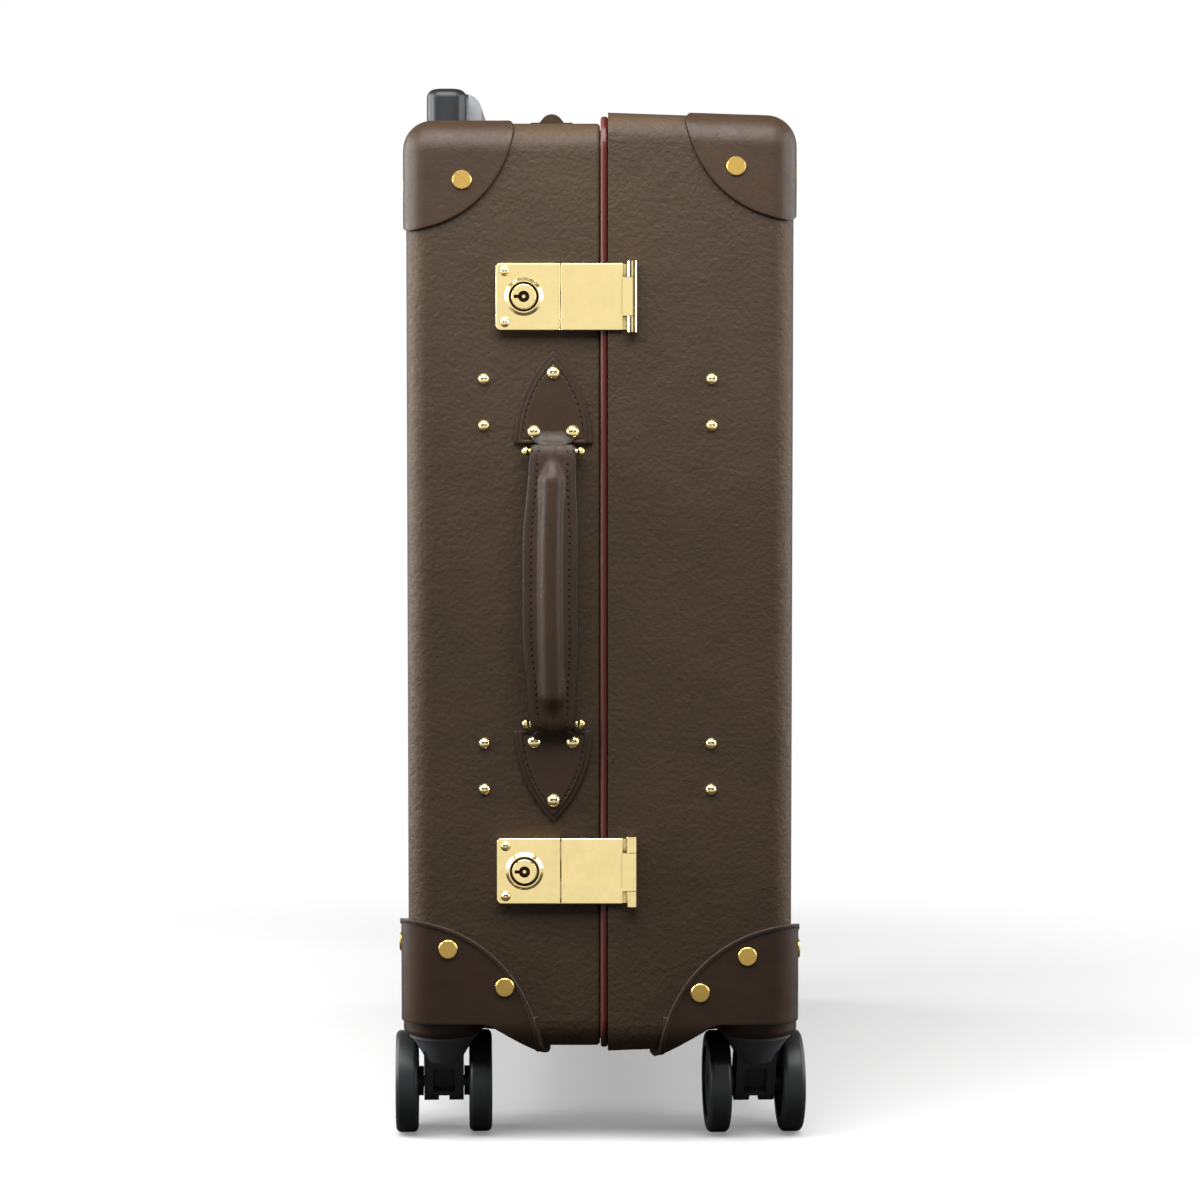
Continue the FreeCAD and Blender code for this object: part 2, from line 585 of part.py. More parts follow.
def tube(name, stage, side):
    """One telescopic tube: stage 0 is the outer one."""
    step = f"2 * {stage} * (tube_wall + tube_play)"
    x = "-tube_x"
    y = {"lock": "-tube_y", "hinge": "tube_y"}[side]
    top = {0: "tube_top", 1: "tube_top + tube_lip", 2: "grip_top - button_height - tube_sunk"}[stage]
    start = f"tube_foot + {stage} * tube_stagger"
    skins = []
    for layer, wall in (("outside", "0"), ("inside", "2 * tube_wall")):
        deep = f"(tube_deep - {step} - {wall})"
        wide = f"(tube_wide - {step} - {wall})"
        bar = box(f"{name}_{layer}", (f"{x} - {deep} / 2", f"{y} - {wide} / 2", start),
                  (deep, wide, f"{top} - ({start})"))
        doc.recompute()
        radius = size("tube_round") - stage * (size("tube_wall") + size("tube_play"))
        radius -= size("tube_wall") if layer == "inside" else 0
        skin = doc.addObject("Part::Fillet", f"{name}_{layer}_round")
        skin.Base = bar
        skin.Edges = [(n, radius, radius) for n, edge in enumerate(bar.Shape.Edges, 1)
                      if along(edge, (0, 0, 1))]
        skins.append(skin)
    return skins[0], cut(name, *skins)


def trolley(room, outer):
    """Telescopic trolley: foot, three tube stages a side, bezel, grip and release button."""
    solids = {}
    stages = {0: [], 1: [], 2: []}
    for side in ("lock", "hinge"):
        for stage in stages:
            solid, hollow = tube(f"trolley_tube_{stage}_{side}", stage, side)
            solids[stage, side] = solid
            stages[stage].append(hollow)
    for stage, name in ((0, "trolley_outer_tubes"), (1, "trolley_middle_tubes"), (2, "trolley_inner_tubes")):
        group(name, *stages[stage])
    sleeves = group("trolley_sleeves", solids[0, "lock"], solids[0, "hinge"])

    floor = "back_bottom + wall"
    block = box("trolley_foot_block", ("-back_depth", "-foot_half", floor),
                ("back_depth - foot_front", "2 * foot_half", "foot_height"))
    cut("trolley_foot", common("trolley_foot_fitted", block, room), sleeves)

    plate = box("bezel_block", ("-bezel_back", "-bezel_half", "bezel_top - bezel_skirt"),
                ("bezel_deep", "2 * bezel_half", "bezel_skirt"))
    ends = rounded("bezel_ends", plate, "bezel_round", lambda edge: along(edge, (0, 0, 1)))
    top = size("bezel_top")
    soft = rounded("bezel_soft", ends, "bezel_edge", lambda edge: level(edge, (0, 0, 1), top))
    cut("trolley_bezel", soft, outer, sleeves)

    bar = box("grip_block", ("-(tube_x + grip_deep / 2)", "-grip_half", "grip_bottom"),
              ("grip_deep", "2 * grip_half", "grip_top - grip_bottom"))
    posts = rounded("grip_posts", bar, "grip_corner", lambda edge: along(edge, (0, 0, 1)))
    crest = size("grip_top")
    crown = rounded("grip_crown_edge", posts, "grip_soft", lambda edge: level(edge, (0, 0, 1), crest))
    palm = box("grip_palm", ("-(swell_front + swell_deep)", "-swell_half", "grip_bottom + swell_lift"),
               ("swell_deep", "2 * swell_half", "grip_top - grip_bottom - swell_lift"))
    front_x = -size("swell_front")
    swell = rounded("grip_swell", palm, "swell_round",
                    lambda edge: along(edge, (0, 1, 0)) and level(edge, (1, 0, 0), front_x))
    fingers = box("grip_fingers", ("-(tube_x + grip_deep)", "-finger_half", "grip_bottom - overshoot"),
                  ("3 * grip_deep", "2 * finger_half", "finger_rise + overshoot"))
    roof = size("grip_bottom") + size("finger_rise")
    arch = rounded("grip_arch", fingers, "grip_soft",
                   lambda edge: along(edge, (1, 0, 0)) and level(edge, (0, 0, 1), roof))
    pocket = box("button_pocket", ("-(tube_x + button_deep / 2 + button_play)",
                                   "-(button_wide / 2 + button_play)",
                                   "grip_top + button_proud - button_height - button_stroke - button_play"),
                 ("button_deep + 2 * button_play", "button_wide + 2 * button_play", "button_height * 3"))
    sockets = group("grip_sockets", solids[2, "lock"], solids[2, "hinge"])
    cut("trolley_grip", fuse("grip_body", crown, swell), arch, pocket, sockets)

    key = box("button_block", ("-(tube_x + button_deep / 2)", "-button_wide / 2",
                               "grip_top + button_proud - button_height"),
              ("button_deep", "button_wide", "button_height"))
    rounded("trolley_button", key, "button_proud",
            lambda edge: level(edge, (0, 0, 1), size("grip_top") + size("button_proud")))
    return sleeves


def lock():
    """One lock at height zero: case, key barrel, bolt, hasp, hasp leaf and hinge pin."""
    face = "-(case_width / 2 + lock_depth)"
    skin = "-(case_width / 2)"
    body = box("lock_block", ("-lock_left", face, "-lock_height / 2"),
               ("lock_left - lock_right", "lock_depth", "lock_height"))
    left = -size("lock_left")
    ends = rounded("lock_ends", body, "lock_round",
                   lambda edge: along(edge, (0, 1, 0)) and level(edge, (1, 0, 0), left))
    front_y = -(size("case_width") / 2 + size("lock_depth"))
    soft = rounded("lock_soft", ends, "plate_edge", lambda edge: level(edge, (0, 1, 0), front_y))
    base = box("lock_floor",
               ("-lock_left + lock_round", f"{skin} - lock_base", "-lock_height / 2 + lock_round"),
               ("lock_left - lock_base_end - lock_round", "lock_base", "lock_height - 2 * lock_round"))
    collar = cone("lock_collar", ("-barrel_x", face, "0"), "collar_radius", "collar_crest", "collar_rise",
                  "lock")
    dish = cone("lock_dish", ("-barrel_x", face, "0"), "barrel_head + dish_gap",
                "collar_crest - collar_lip", "collar_rise + barrel_play", "lock")
    hollow = box("lock_hollow",
                 ("-lock_left + lock_plate", f"{face} + lock_plate", "-lock_height / 2 + lock_plate"),
                 ("lock_left - lock_right - 2 * lock_plate", "lock_depth - lock_plate - lock_base",
                  "lock_height - 2 * lock_plate"))
    gate = box("lock_gate", ("-lock_right - 2 * lock_plate", f"{skin} - bolt_level - bolt_thick - bolt_play",
                             "-bolt_head / 2 - bolt_play"),
               ("3 * lock_plate", "bolt_thick + 2 * bolt_play", "bolt_head + 2 * bolt_play"))
    bore = cylinder("lock_bore", ("-barrel_x", f"{face} + 2 * lock_plate", "0"),
                    "barrel_radius + barrel_play", "4 * lock_plate", "lock")
    shape = fuse("lock_shape", soft, base, cut("lock_ring", collar, dish))
    case = cut("lock_case", shape, hollow, gate, bore)

    head = cylinder("barrel_cap", ("-barrel_x", f"{face} - barrel_play", "0"), "barrel_head", "barrel_rise",
                    "lock")
    lip = rounded("barrel_lip", head, "flat_bevel",
                  lambda edge: level(edge, (0, 1, 0), front_y - size("barrel_play") - size("barrel_rise")))
    stub = cylinder("barrel_stub", ("-barrel_x", f"{face} + lock_plate + barrel_play", "0"), "barrel_radius",
                    "lock_plate + 2 * barrel_play", "lock")
    cam = cylinder("barrel_cam", ("-barrel_x", f"{face} + lock_plate + barrel_play + cam_thick", "0"),
                   "cam_radius", "cam_thick + barrel_play", "lock")
    crank_x = "-barrel_x - crank_radius * sqrt(0.5)"
    crank = cylinder("barrel_crank",
                     (crank_x, f"{skin} - bolt_level + bolt_play", "crank_radius * sqrt(0.5)"),
                     "crank_pin", "lock_depth - bolt_level - lock_plate", "lock")
    keyhole = cylinder("barrel_keyhole", ("-barrel_x", f"{face} + lock_plate", "0"), "keyhole_radius",
                       "2 * barrel_rise + lock_plate", "lock")
    slot = box("barrel_slot", ("-barrel_x - keyhole_reach", f"{face} - 2 * barrel_rise", "-keyhole_slot / 2"),
               ("keyhole_reach", "2 * barrel_rise", "keyhole_slot"))
    post = cylinder("barrel_post", ("-barrel_x", f"{face} + lock_plate + barrel_play", "0"), "key_pin",
                    "barrel_rise + lock_plate - flat_bevel", "lock")
    bored = cut("barrel_bored", fuse("barrel_shape", lip, stub, cam, crank), keyhole, slot)
    barrel = fuse("key_barrel", bored, post)

    level_y = f"{skin} - bolt_level - bolt_thick"
    plate = box("bolt_plate", ("-bolt_tail", level_y, "-bolt_body / 2"),
                ("bolt_tail - bolt_shoulder", "bolt_thick", "bolt_body"))
    tip = box("bolt_tip", ("-bolt_shoulder", level_y, "-bolt_head / 2"),
              ("bolt_shoulder - bolt_rest", "bolt_thick", "bolt_head"))
    window = box("bolt_window", (f"{crank_x} - crank_pin - bolt_play", f"{level_y} - overshoot",
                                 "crank_radius * sqrt(0.5) - crank_pin - bolt_play"),
                 ("2 * (crank_pin + bolt_play)", "bolt_thick + 2 * overshoot",
                  "crank_radius * (1 - sqrt(0.5)) + 2 * (crank_pin + bolt_play)"))
    bolt = cut("lock_bolt", fuse("bolt_shape", plate, tip), window)

    axis_y = f"{skin} - hasp_hinge_y"
    flap = box("hasp_flap", ("-hasp_end", face, "-lock_height / 2"),
               ("hasp_end + hasp_hinge_x - hasp_knuckle - hasp_notch", "hasp_thick", "lock_height"))
    free_end = -size("hasp_end")
    cover = rounded("hasp_cover", flap, "plate_edge",
                    lambda edge: level(edge, (0, 1, 0), front_y)
                    and (along(edge, (1, 0, 0)) or level(edge, (1, 0, 0), free_end)))
    neck = box("hasp_neck",
               ("hasp_hinge_x - hasp_knuckle - hasp_notch", f"{axis_y} - hasp_knuckle", "-hasp_middle / 2"),
               ("hasp_knuckle + hasp_notch", "hasp_hinge_y + hasp_knuckle - lock_depth + hasp_thick",
                "hasp_middle"))
    curl = cylinder("hasp_curl", ("hasp_hinge_x", axis_y, "-hasp_middle / 2"), "hasp_knuckle", "hasp_middle")
    eye = cylinder("hasp_eye", ("hasp_hinge_x", axis_y, "-leaf_height"), "hasp_bore", "2 * leaf_height")
    lug = box("hasp_lug", ("-staple_left", f"{face} + hasp_thick", "-staple_width / 2"),
              ("staple_thick", "lock_depth - hasp_thick - staple_foot", "staple_width"))
    mouth = box("hasp_mouth",
                ("-staple_left - overshoot", f"{level_y} - bolt_play", "-bolt_head / 2 - bolt_play"),
                ("staple_thick + 2 * overshoot", "bolt_thick + 2 * bolt_play", "bolt_head + 2 * bolt_play"))
    hasp = cut("hasp", fuse("hasp_shape", cover, neck, curl, lug), eye, mouth)

    leaf_plate = box("leaf_plate", ("leaf_start", f"{skin} - leaf_level", "-leaf_plate / 2"),
                     ("hasp_hinge_x - leaf_start", "leaf_level", "leaf_plate"))
    knuckles = []
    for part, foot in (("low", "-leaf_height / 2"), ("high", "hasp_middle / 2 + hasp_gap")):
        knuckles.append(cylinder(f"leaf_knuckle_{part}", ("hasp_hinge_x", axis_y, foot), "hasp_knuckle",
                                 "(leaf_height - hasp_middle) / 2 - hasp_gap"))
    room = cylinder("leaf_room", ("hasp_hinge_x", axis_y, "-hasp_middle / 2 - hasp_gap"),
                    "hasp_knuckle + hasp_gap", "hasp_middle + 2 * hasp_gap")
    pin = cylinder("hasp_hinge_pin", ("hasp_hinge_x", axis_y, "-leaf_height / 2"), "hasp_pin", "leaf_height")
    leaf = cut("leaf_shape", fuse("leaf_joined", cut("leaf_notched", leaf_plate, room), *knuckles), pin)
    return case, barrel, bolt, hasp, leaf, pin


def locks(front_outer):
    """The upper and the lower lock from one pattern; each leaf is fitted to the drafted front tray."""
    case, barrel, bolt, hasp, leaf, pin = lock()
    leaves = []
    pins = []
    for part in ("upper", "lower"):
        place = ("0", "0", f"lock_{part}")
        placed(f"{part}_lock_case", case, place)
        placed(f"{part}_key_barrel", barrel, place)
        placed(f"{part}_lock_bolt", bolt, place)
        placed(f"{part}_hasp", hasp, place)
        leaves.append(cut(f"{part}_leaf_fitted", placed(f"{part}_leaf", leaf, place), front_outer))
        pins.append(placed(f"{part}_hasp_pin", pin, place))
    group("hasp_leaves", *leaves)
    group("hasp_pins", *pins)


def arch(name, half, length, start, thick):
    """Pointed arch, base line on the X axis and point upwards, standing out towards the lock side."""
    radius = f"(({half}) ^ 2 + ({length}) ^ 2) / (2 * ({half}))"
    offset = f"({radius} - ({half}))"
    sides = [cylinder(f"{name}_{part}", (f"{sign}{offset}", f"-({start})", "0"), radius, thick, "lock")
             for part, sign in (("left", ""), ("right", "-"))]
    window = box(f"{name}_window", (f"-({half})", f"-({start} + {thick})", "0"),
                 (f"2 * ({half})", thick, length))
    return common(name, *sides, window)


def handle():
    """One handle about its own middle, standing out towards the lock side: chape, pin and grip."""
    lower = arch("chape_layer_lower", "chape_half", "chape_length", "0", "chape_lower")
    upper = arch("chape_layer_upper", "chape_half - chape_inset", "chape_length - 2 * chape_inset",
                 "chape_lower", "chape_upper")
    drop = "(pin_half - chape_base)"
    tab = box("chape_tab", ("-chape_ear / 2", "-(chape_lower + chape_upper)", f"{drop} - chape_loop"),
              ("chape_ear", "chape_lower + chape_upper", f"chape_loop - {drop} + chape_inset"))
    heel = box("chape_heel", ("-chape_ear / 2", "-pin_level", f"{drop}"),
               ("chape_ear", "pin_level", "chape_loop"))
    loop = cylinder("chape_loop_round", ("-chape_ear / 2", "-pin_level", drop), "chape_loop", "chape_ear",
                    "front")
    hole = cylinder("chape_hole", ("-chape_ear", "-pin_level", drop), "pin_radius", "2 * chape_ear", "front")
    chape = cut("chape", fuse("chape_shape", lower, upper, tab, heel, loop), hole)

    rod = cylinder("pin_rod", ("-pin_reach", "-pin_level", "0"), "pin_radius", "2 * pin_reach", "front")
    balls = [sphere(f"pin_ball_{part}", (f"{sign}pin_reach", "-pin_level", "0"), "pin_ball")
             for part, sign in (("left", "-"), ("right", ""))]
    pin = fuse("handle_pin", rod, *balls)

    bow = "((pin_half ^ 2 + (grip_crown - grip_end) ^ 2) / (2 * (grip_crown - grip_end)))"
    centre = f"({bow} - grip_crown)"
    discs = [cylinder(f"grip_disc_{part}", ("-grip_width / 2", centre, "0"), radius, "grip_width", "front")
             for part, radius in (("outer", f"{bow} + grip_edge / 2"), ("inner", f"{bow} - grip_edge / 2"))]
    band = cut("grip_band", *discs)
    span = box("grip_span", ("-grip_width", "-2 * grip_crown", "-(pin_half + grip_over)"),
               ("2 * grip_width", "2 * grip_crown", "2 * (pin_half + grip_over)"))
    edges = common("grip_edges", band, span)
    ring = doc.addObject("Part::Torus", "grip_ring")
    ring.Placement.Rotation = FACING["front"]
    bind(ring, {"Radius1": bow, "Radius2": "grip_roll", **at("0", centre, "0")})
    middle = box("grip_middle", ("-grip_width", "-2 * grip_crown", "-grip_roll_half"),
                 ("2 * grip_width", "2 * grip_crown", "2 * grip_roll_half"))
    roll = common("grip_roll_piece", ring, middle)
    slack_level = "(pin_level - grip_slack)"
    foot = cylinder("grip_loop_foot", ("-grip_ear / 2", f"-{slack_level}", "pin_half"), "loop_radius",
                    "grip_ear", "front")
    leg = box("grip_loop_leg", ("-grip_ear / 2", "-grip_end", "pin_half - loop_radius"),
              ("grip_ear", f"grip_end - {slack_level}", "2 * loop_radius"))
    gap = box("grip_loop_gap", ("-(chape_ear / 2 + grip_gap)", "-(pin_level + chape_loop + grip_gap)",
                                "pin_half - 3 * loop_radius"),
              ("chape_ear + 2 * grip_gap", "2 * pin_level + chape_loop", "6 * loop_radius"))
    eye_radius = "pin_radius + grip_play"
    low_eye = cylinder("grip_eye_low", ("-grip_ear", f"-{slack_level}", "pin_half"), eye_radius,
                       "2 * grip_ear", "front")
    high_eye = cylinder("grip_eye_high", ("-grip_ear", "-pin_level", "pin_half"), eye_radius, "2 * grip_ear",
                        "front")
    slot = box("grip_eye_slot", ("-grip_ear", "-pin_level", f"pin_half - ({eye_radius})"),
               ("2 * grip_ear", "grip_slack", f"2 * ({eye_radius})"))
    ears = cut("grip_ears", fuse("grip_ears_shape", foot, leg), gap, low_eye, high_eye, slot)
    far_ears = mirrored("grip_ears_far", ears, (0, 0, 1))
    grip = fuse("handle_grip", edges, roll, ears, far_ears)
    return chape, pin, grip


def handles():
    """Side handle on the lock side and top handle on the back tray, from one pattern."""
    chape, pin, grip = handle()
    far_chape = mirrored("chape_turned", placed("chape_seat", chape, ("0", "0", "chape_base")), (0, 0, 1))
    near_chape = placed("chape_upright", chape, ("0", "0", "chape_base"))
    near_pin = placed("pin_near", pin, ("0", "0", "pin_half"))
    far_pin = placed("pin_far", pin, ("0", "0", "-pin_half"))
    top_turn = FreeCAD.Rotation(FreeCAD.Vector(1, 0, 0), -90)
    spots = {"side": (("-handle_x", "-case_width / 2", "handle_z"), FACING["up"]),
             "top": (("-top_handle_x", "0", "back_top"), top_turn)}
    chapes = []
    pins = []
    for name, (place, turn) in spots.items():
        chapes += [placed(f"{name}_chape_{part}", source, place, turn)
                   for part, source in (("near", near_chape), ("far", far_chape))]
        pins += [placed(f"{name}_pin_{part}", source, place, turn)
                 for part, source in (("near", near_pin), ("far", far_pin))]
        placed(f"{name}_handle_grip", grip, place, turn)
    group("handle_chapes", *chapes)
    group("handle_pins", *pins)

    rivet = rivet_dome("chape", "chape_head")
    skin = "(chape_lower + chape_upper)"
    reach = {"far": "(chape_base + chape_rivet_far)", "near": "(chape_base + chape_rivet_near)"}
    nails = []
    for end in ("", "-"):
        for across, along_handle in (("0", reach["far"]), ("-chape_rivet_x", reach["near"]),
                                     ("chape_rivet_x", reach["near"])):
            side = (f"-handle_x + {across}", f"-(case_width / 2 + {skin})",
                    f"handle_z + {end}{along_handle}")
            top = (f"-top_handle_x + {across}", f"{end}{along_handle}", f"back_top + {skin}")
            nails += [(side, "lock"), (top, "up")]
    group("handle_rivets", *rivets("handle_rivet", rivet, nails))


def case_hinges(front_outer):
    """Three butt hinges on the hinge side: back leaves, front leaves and pins."""
    skin = "case_width / 2"
    axis = ("hinge_x", f"({skin} + hinge_y)")
    half = "hinge_height / 2"
    mid = "hinge_middle / 2"
    back = box("hinge_back_leaf", ("-hinge_leaf", skin, f"-{half}"),
               ("hinge_leaf - hinge_root / 2", "hinge_sheet", "hinge_height"))
    front = box("hinge_front_leaf", ("hinge_clear", f"{skin} + front_side - hinge_sheet", f"-{half}"),
                ("hinge_leaf - hinge_clear", "2 * hinge_sheet", "hinge_height"))
    back_parts = [back]
    for part, foot in (("low", f"-{half}"), ("high", f"{mid} + hinge_gap")):
        length = f"{half} - {mid} - hinge_gap"
        back_parts.append(cylinder(f"hinge_back_knuckle_{part}", (*axis, foot), "hinge_radius", length))
        back_parts.append(box(f"hinge_back_root_{part}", ("-hinge_root", skin, foot),
                              ("hinge_root - seam_gap", "hinge_y", length)))
    front_knuckle = cylinder("hinge_front_knuckle", (*axis, f"-{mid}"), "hinge_radius", "hinge_middle")
    front_root = box("hinge_front_root",
                     ("band_width + seam_gap", f"{skin} + front_side - hinge_sheet", f"-{mid}"),
                     ("hinge_clear - band_width", "hinge_y - front_side + hinge_sheet", "hinge_middle"))
    pin = cylinder("hinge_pin_rod", (*axis, f"-{half}"), "hinge_pin", "hinge_height")
    eye = cylinder("hinge_front_eye", (*axis, f"-{half}"), "hinge_pin + hinge_play", "hinge_height")
    back_leaf = cut("hinge_back", fuse("hinge_back_shape", *back_parts), pin)
    front_leaf = cut("hinge_front", fuse("hinge_front_shape", front, front_knuckle, front_root), eye)
    sets = {"back": [], "front": [], "pins": []}
    for number, step in enumerate(("-hinge_spacing", "0", "hinge_spacing")):
        place = ("0", "0", f"hinge_centre + {step}")
        sets["back"].append(placed(f"hinge_back_{number}", back_leaf, place))
        moved = placed(f"hinge_front_{number}", front_leaf, place)
        sets["front"].append(cut(f"hinge_front_fitted_{number}", moved, front_outer))
        sets["pins"].append(placed(f"hinge_pin_{number}", pin, place))
    group("back_hinge_leaves", *sets["back"])
    group("front_hinge_leaves", *sets["front"])
    group("case_hinge_pins", *sets["pins"])


def case_rivets():
    """Flat rivets of corners and guards, dome rivets of straps, locks and hinges, for both trays."""
    flat = rivet_flat()
    strap = rivet_dome("strap", "strap_head")
    small = rivet_dome("lock", "lock_head")
    leaf = rivet_dome("hinge", "hinge_head")
    side_y = {"back": lambda x: "(case_width / 2)", "front": front_face}
    proud = {"back": "0", "front": "front_side"}
    top = {"back": "back_top + skin",
           "front": "back_top + front_above + skin - (front_corner_rivet_x - band_width) * tan(front_draft)"}
    face = {"back": "-(back_depth + {})", "front": "band_width + front_depth + {}"}
    for side, sign in (("back", "-"), ("front", "")):
        half = side_y[side]
        corner_x = f"{side}_corner_rivet_x"
        corner_z = f"{side}_corner_rivet_z"
        spots = both_sides(f"{sign}{corner_x}", f"{half(corner_x)} + skin", corner_z)
        for y in ("-corner_rivet_y", "corner_rivet_y"):
            spots += [((f"{sign}{corner_x}", y, top[side]), "up"),
                      ((face[side].format("skin"), y, corner_z), side)]
        for x, y, z in ((f"{side}_guard_rivet_out", "guard_rivet_y", f"{side}_guard_rivet_high"),
                        (f"{side}_guard_rivet_in", "guard_rivet_y_in", f"{side}_guard_rivet_low")):
            spots += both_sides(f"{sign}{x}", f"{half(x)} + guard_skin", z)
            guard_x = face[side].format("guard_skin")
            spots += [((guard_x, f"-{y}", z), side), ((guard_x, y, z), side)]
        group(f"{side}_corner_rivets", *rivets(f"{side}_flat", flat, spots))

        x = f"strap_x_{side}"
        straps = []
        for height in ("strap_high", "strap_low"):
            for step in ("- strap_pitch / 2", "+ strap_pitch / 2"):
                straps += both_sides(f"{sign}{x}", half(x), f"{height} {step}")
        domes = rivets(f"{side}_strap_rivet", strap, straps)
        leaves = []
        for number in (-1, 0, 1):
            for step in ("- hinge_rivet", "+ hinge_rivet"):
                leaf_y = f"case_width / 2 + {proud[side]} + hinge_sheet"
                leaves.append(((f"{sign}(hinge_leaf - hinge_root)", leaf_y,
                                f"hinge_centre + {number} * hinge_spacing {step}"), "hinge"))
        domes += rivets(f"{side}_hinge_rivet", leaf, leaves)
        if side == "back":
            plate_y = "-(case_width / 2 + lock_depth)"
            plates = [(("-lock_rivet_x", plate_y, f"lock_{part} {step} lock_rivet_z"), "lock")
                      for part in ("upper", "lower") for step in ("-", "+")]
            domes += rivets("lock_rivet", small, plates)
        group(f"{side}_dome_rivets", *domes)


def edge_band():
    """Bead at the seam with the tongue that closes into the back tray, in four runs and four bends."""
    bead = tray("band_bead", "front", depth="band_width - seam_gap", edge="band_round", rim_edge="band_round",
                section="band")
    reach = "tongue_reach + band_width"
    tongue = tray("band_tongue", "front", "-(wall + tongue_gap)", depth=reach, edge=None, rim="-tongue_reach",
                  section="back")
    hole = tray("band_hole", "front", "-(wall + tongue_gap + tongue_wall)", depth=reach, edge=None,
                rim="-tongue_reach", section="back")
    ring = cut("band_ring", fuse("band_shape", bead, tongue), hole)
    across = box("band_across", ("-2 * tongue_reach", "-case_width", "back_bottom + corner_radius"),
                 ("4 * tongue_reach", "2 * case_width", "back_top - back_bottom - 2 * corner_radius"))
    upright = box("band_upright", ("-2 * tongue_reach", "-(case_width / 2 - corner_radius)", "0"),
                  ("4 * tongue_reach", "case_width - 2 * corner_radius", "2 * back_top"))
    bends = cut("band_bends", ring, across, upright)
    group("rim_band", cut("band_runs", ring, bends), bends)


def caster():
    """One caster about its swivel axis on the floor: cup, fork, axle and a wheel for each side."""
    cup_block = cylinder("cup_block", ("0", "0", "cup_bottom"), "cup_radius", "well_roof - cup_bottom")
    low = size("cup_bottom")
    cup_soft = rounded("cup_soft", cup_block, "cup_round", lambda edge: closed_at(edge, low))
    socket = cylinder("cup_socket", ("0", "0", "0"), "stem_radius + stem_play", "stem_top + 4 * stem_play")
    cup = cut("caster_cup", cup_soft, socket)

    disc_top = "cup_bottom - disc_gap"
    disc = cylinder("fork_disc", ("0", "0", f"{disc_top} - disc_thick"), "disc_radius", "disc_thick")
    stem = cylinder("fork_stem", ("0", "0", "neck_bottom"), "stem_radius", "stem_top - neck_bottom")
    neck = cone("fork_neck", ("0", "0", "neck_bottom"), "neck_radius", "disc_radius - neck_step",
                f"{disc_top} - disc_thick - neck_bottom")
    boss = cylinder("fork_boss", ("-fork_width / 2", "trail", "wheel_radius"), "fork_radius", "fork_width",
                    "front")
    arm = doc.addObject("Part::Box", "fork_arm")
    lean = size("fork_lean")
    arm.Placement.Rotation = FreeCAD.Rotation(FreeCAD.Vector(1, 0, 0), lean)
    bind(arm, {"Length": "fork_width", "Width": "2 * fork_radius", "Height": "2 * wheel_radius",
               **at("-fork_width / 2", "trail - fork_radius * cos(fork_lean)",
                    "wheel_radius - fork_radius * sin(fork_lean)")})
    below = box("fork_below", ("-fork_width", "-2 * wheel_radius", "0"),
                ("2 * fork_width", "4 * wheel_radius", f"{disc_top} - disc_thick"))
    leg = common("fork_leg", arm, below)
    shape = fuse("fork_shape", disc, stem, neck, boss, leg)
    sweeps = []
    for part, start in (("left", "-(wheel_inner + 2 * wheel_width)"), ("right", "wheel_inner - wheel_play")):
        sweeps.append(cylinder(f"fork_sweep_{part}", (start, "trail", "wheel_radius"),
                               "wheel_radius + wheel_play / 2", "2 * wheel_width + wheel_play", "front"))
    window = doc.addObject("Part::Box", "fork_window_block")
    window.Placement.Rotation = FreeCAD.Rotation(FreeCAD.Vector(1, 0, 0), lean)
    bind(window, {"Length": "fork_window", "Width": "2 * fork_recess", "Height": "fork_opening",
                  **at("-fork_window / 2", "trail - (fork_radius + fork_recess) * cos(fork_lean)",
                       "wheel_radius - (fork_radius + fork_recess) * sin(fork_lean)")})
    notch = box("fork_notch_block", ("-fork_notch / 2", "-wheel_radius", "0"),
                ("fork_notch", "3 * wheel_radius", "wheel_radius - fork_radius + fork_cleft"))
    axle = cylinder("caster_axle", ("-axle_half", "trail", "wheel_radius"), "axle_radius", "2 * axle_half",
                    "front")
    fork = cut("caster_fork", shape, *sweeps, window, notch, axle)
    return cup, fork, axle, caster_wheel()


def caster_wheel():
    """The wheel on the +X side: rounded tread, dished outer face, ribbed hollow inside, hub, blind bore."""
    centre = ("trail", "wheel_radius")
    rim = cylinder("wheel_tread", ("wheel_inner", *centre), "wheel_radius", "wheel_width", "front")
    soft = rounded("wheel_soft", rim, "wheel_round", lambda edge: not along(edge, (1, 0, 0)) and edge.Closed)
    dish = cylinder("wheel_dish_disc", ("wheel_inner + wheel_width - wheel_dish_depth", *centre),
                    "wheel_dish", "wheel_width", "front")
    hollow = cylinder("wheel_hollow_disc", ("0", *centre), "wheel_dish", "wheel_inner + wheel_hollow_depth",
                      "front")
    hub = cylinder("wheel_hub", ("fork_width / 2 + hub_gap", *centre), "hub_radius",
                   "wheel_inner + wheel_width / 2 - fork_width / 2", "front")
    ribs = []
    for number in range(WHEEL_RIBS):
        rib = doc.addObject("Part::Box", f"wheel_rib_{number}")
        bind(rib, {"Length": "wheel_hollow_depth", "Width": "2 * wheel_dish", "Height": "rib_thick",
                   **at("0", "-wheel_dish", "-rib_thick / 2")})
        turned = placed(f"wheel_rib_turned_{number}", rib, ("wheel_inner + rib_inset", *centre),
                        FreeCAD.Rotation(FreeCAD.Vector(1, 0, 0), 180 / WHEEL_RIBS * number))
        ribs.append(turned)
    bore = cylinder("wheel_bore", ("0", *centre), "axle_radius + axle_play", "axle_half + 4 * axle_play",
                    "front")
    ring = cut("wheel_ring", soft, dish, hollow)
    return cut("wheel", fuse("wheel_shape", ring, hub, *ribs), bore)


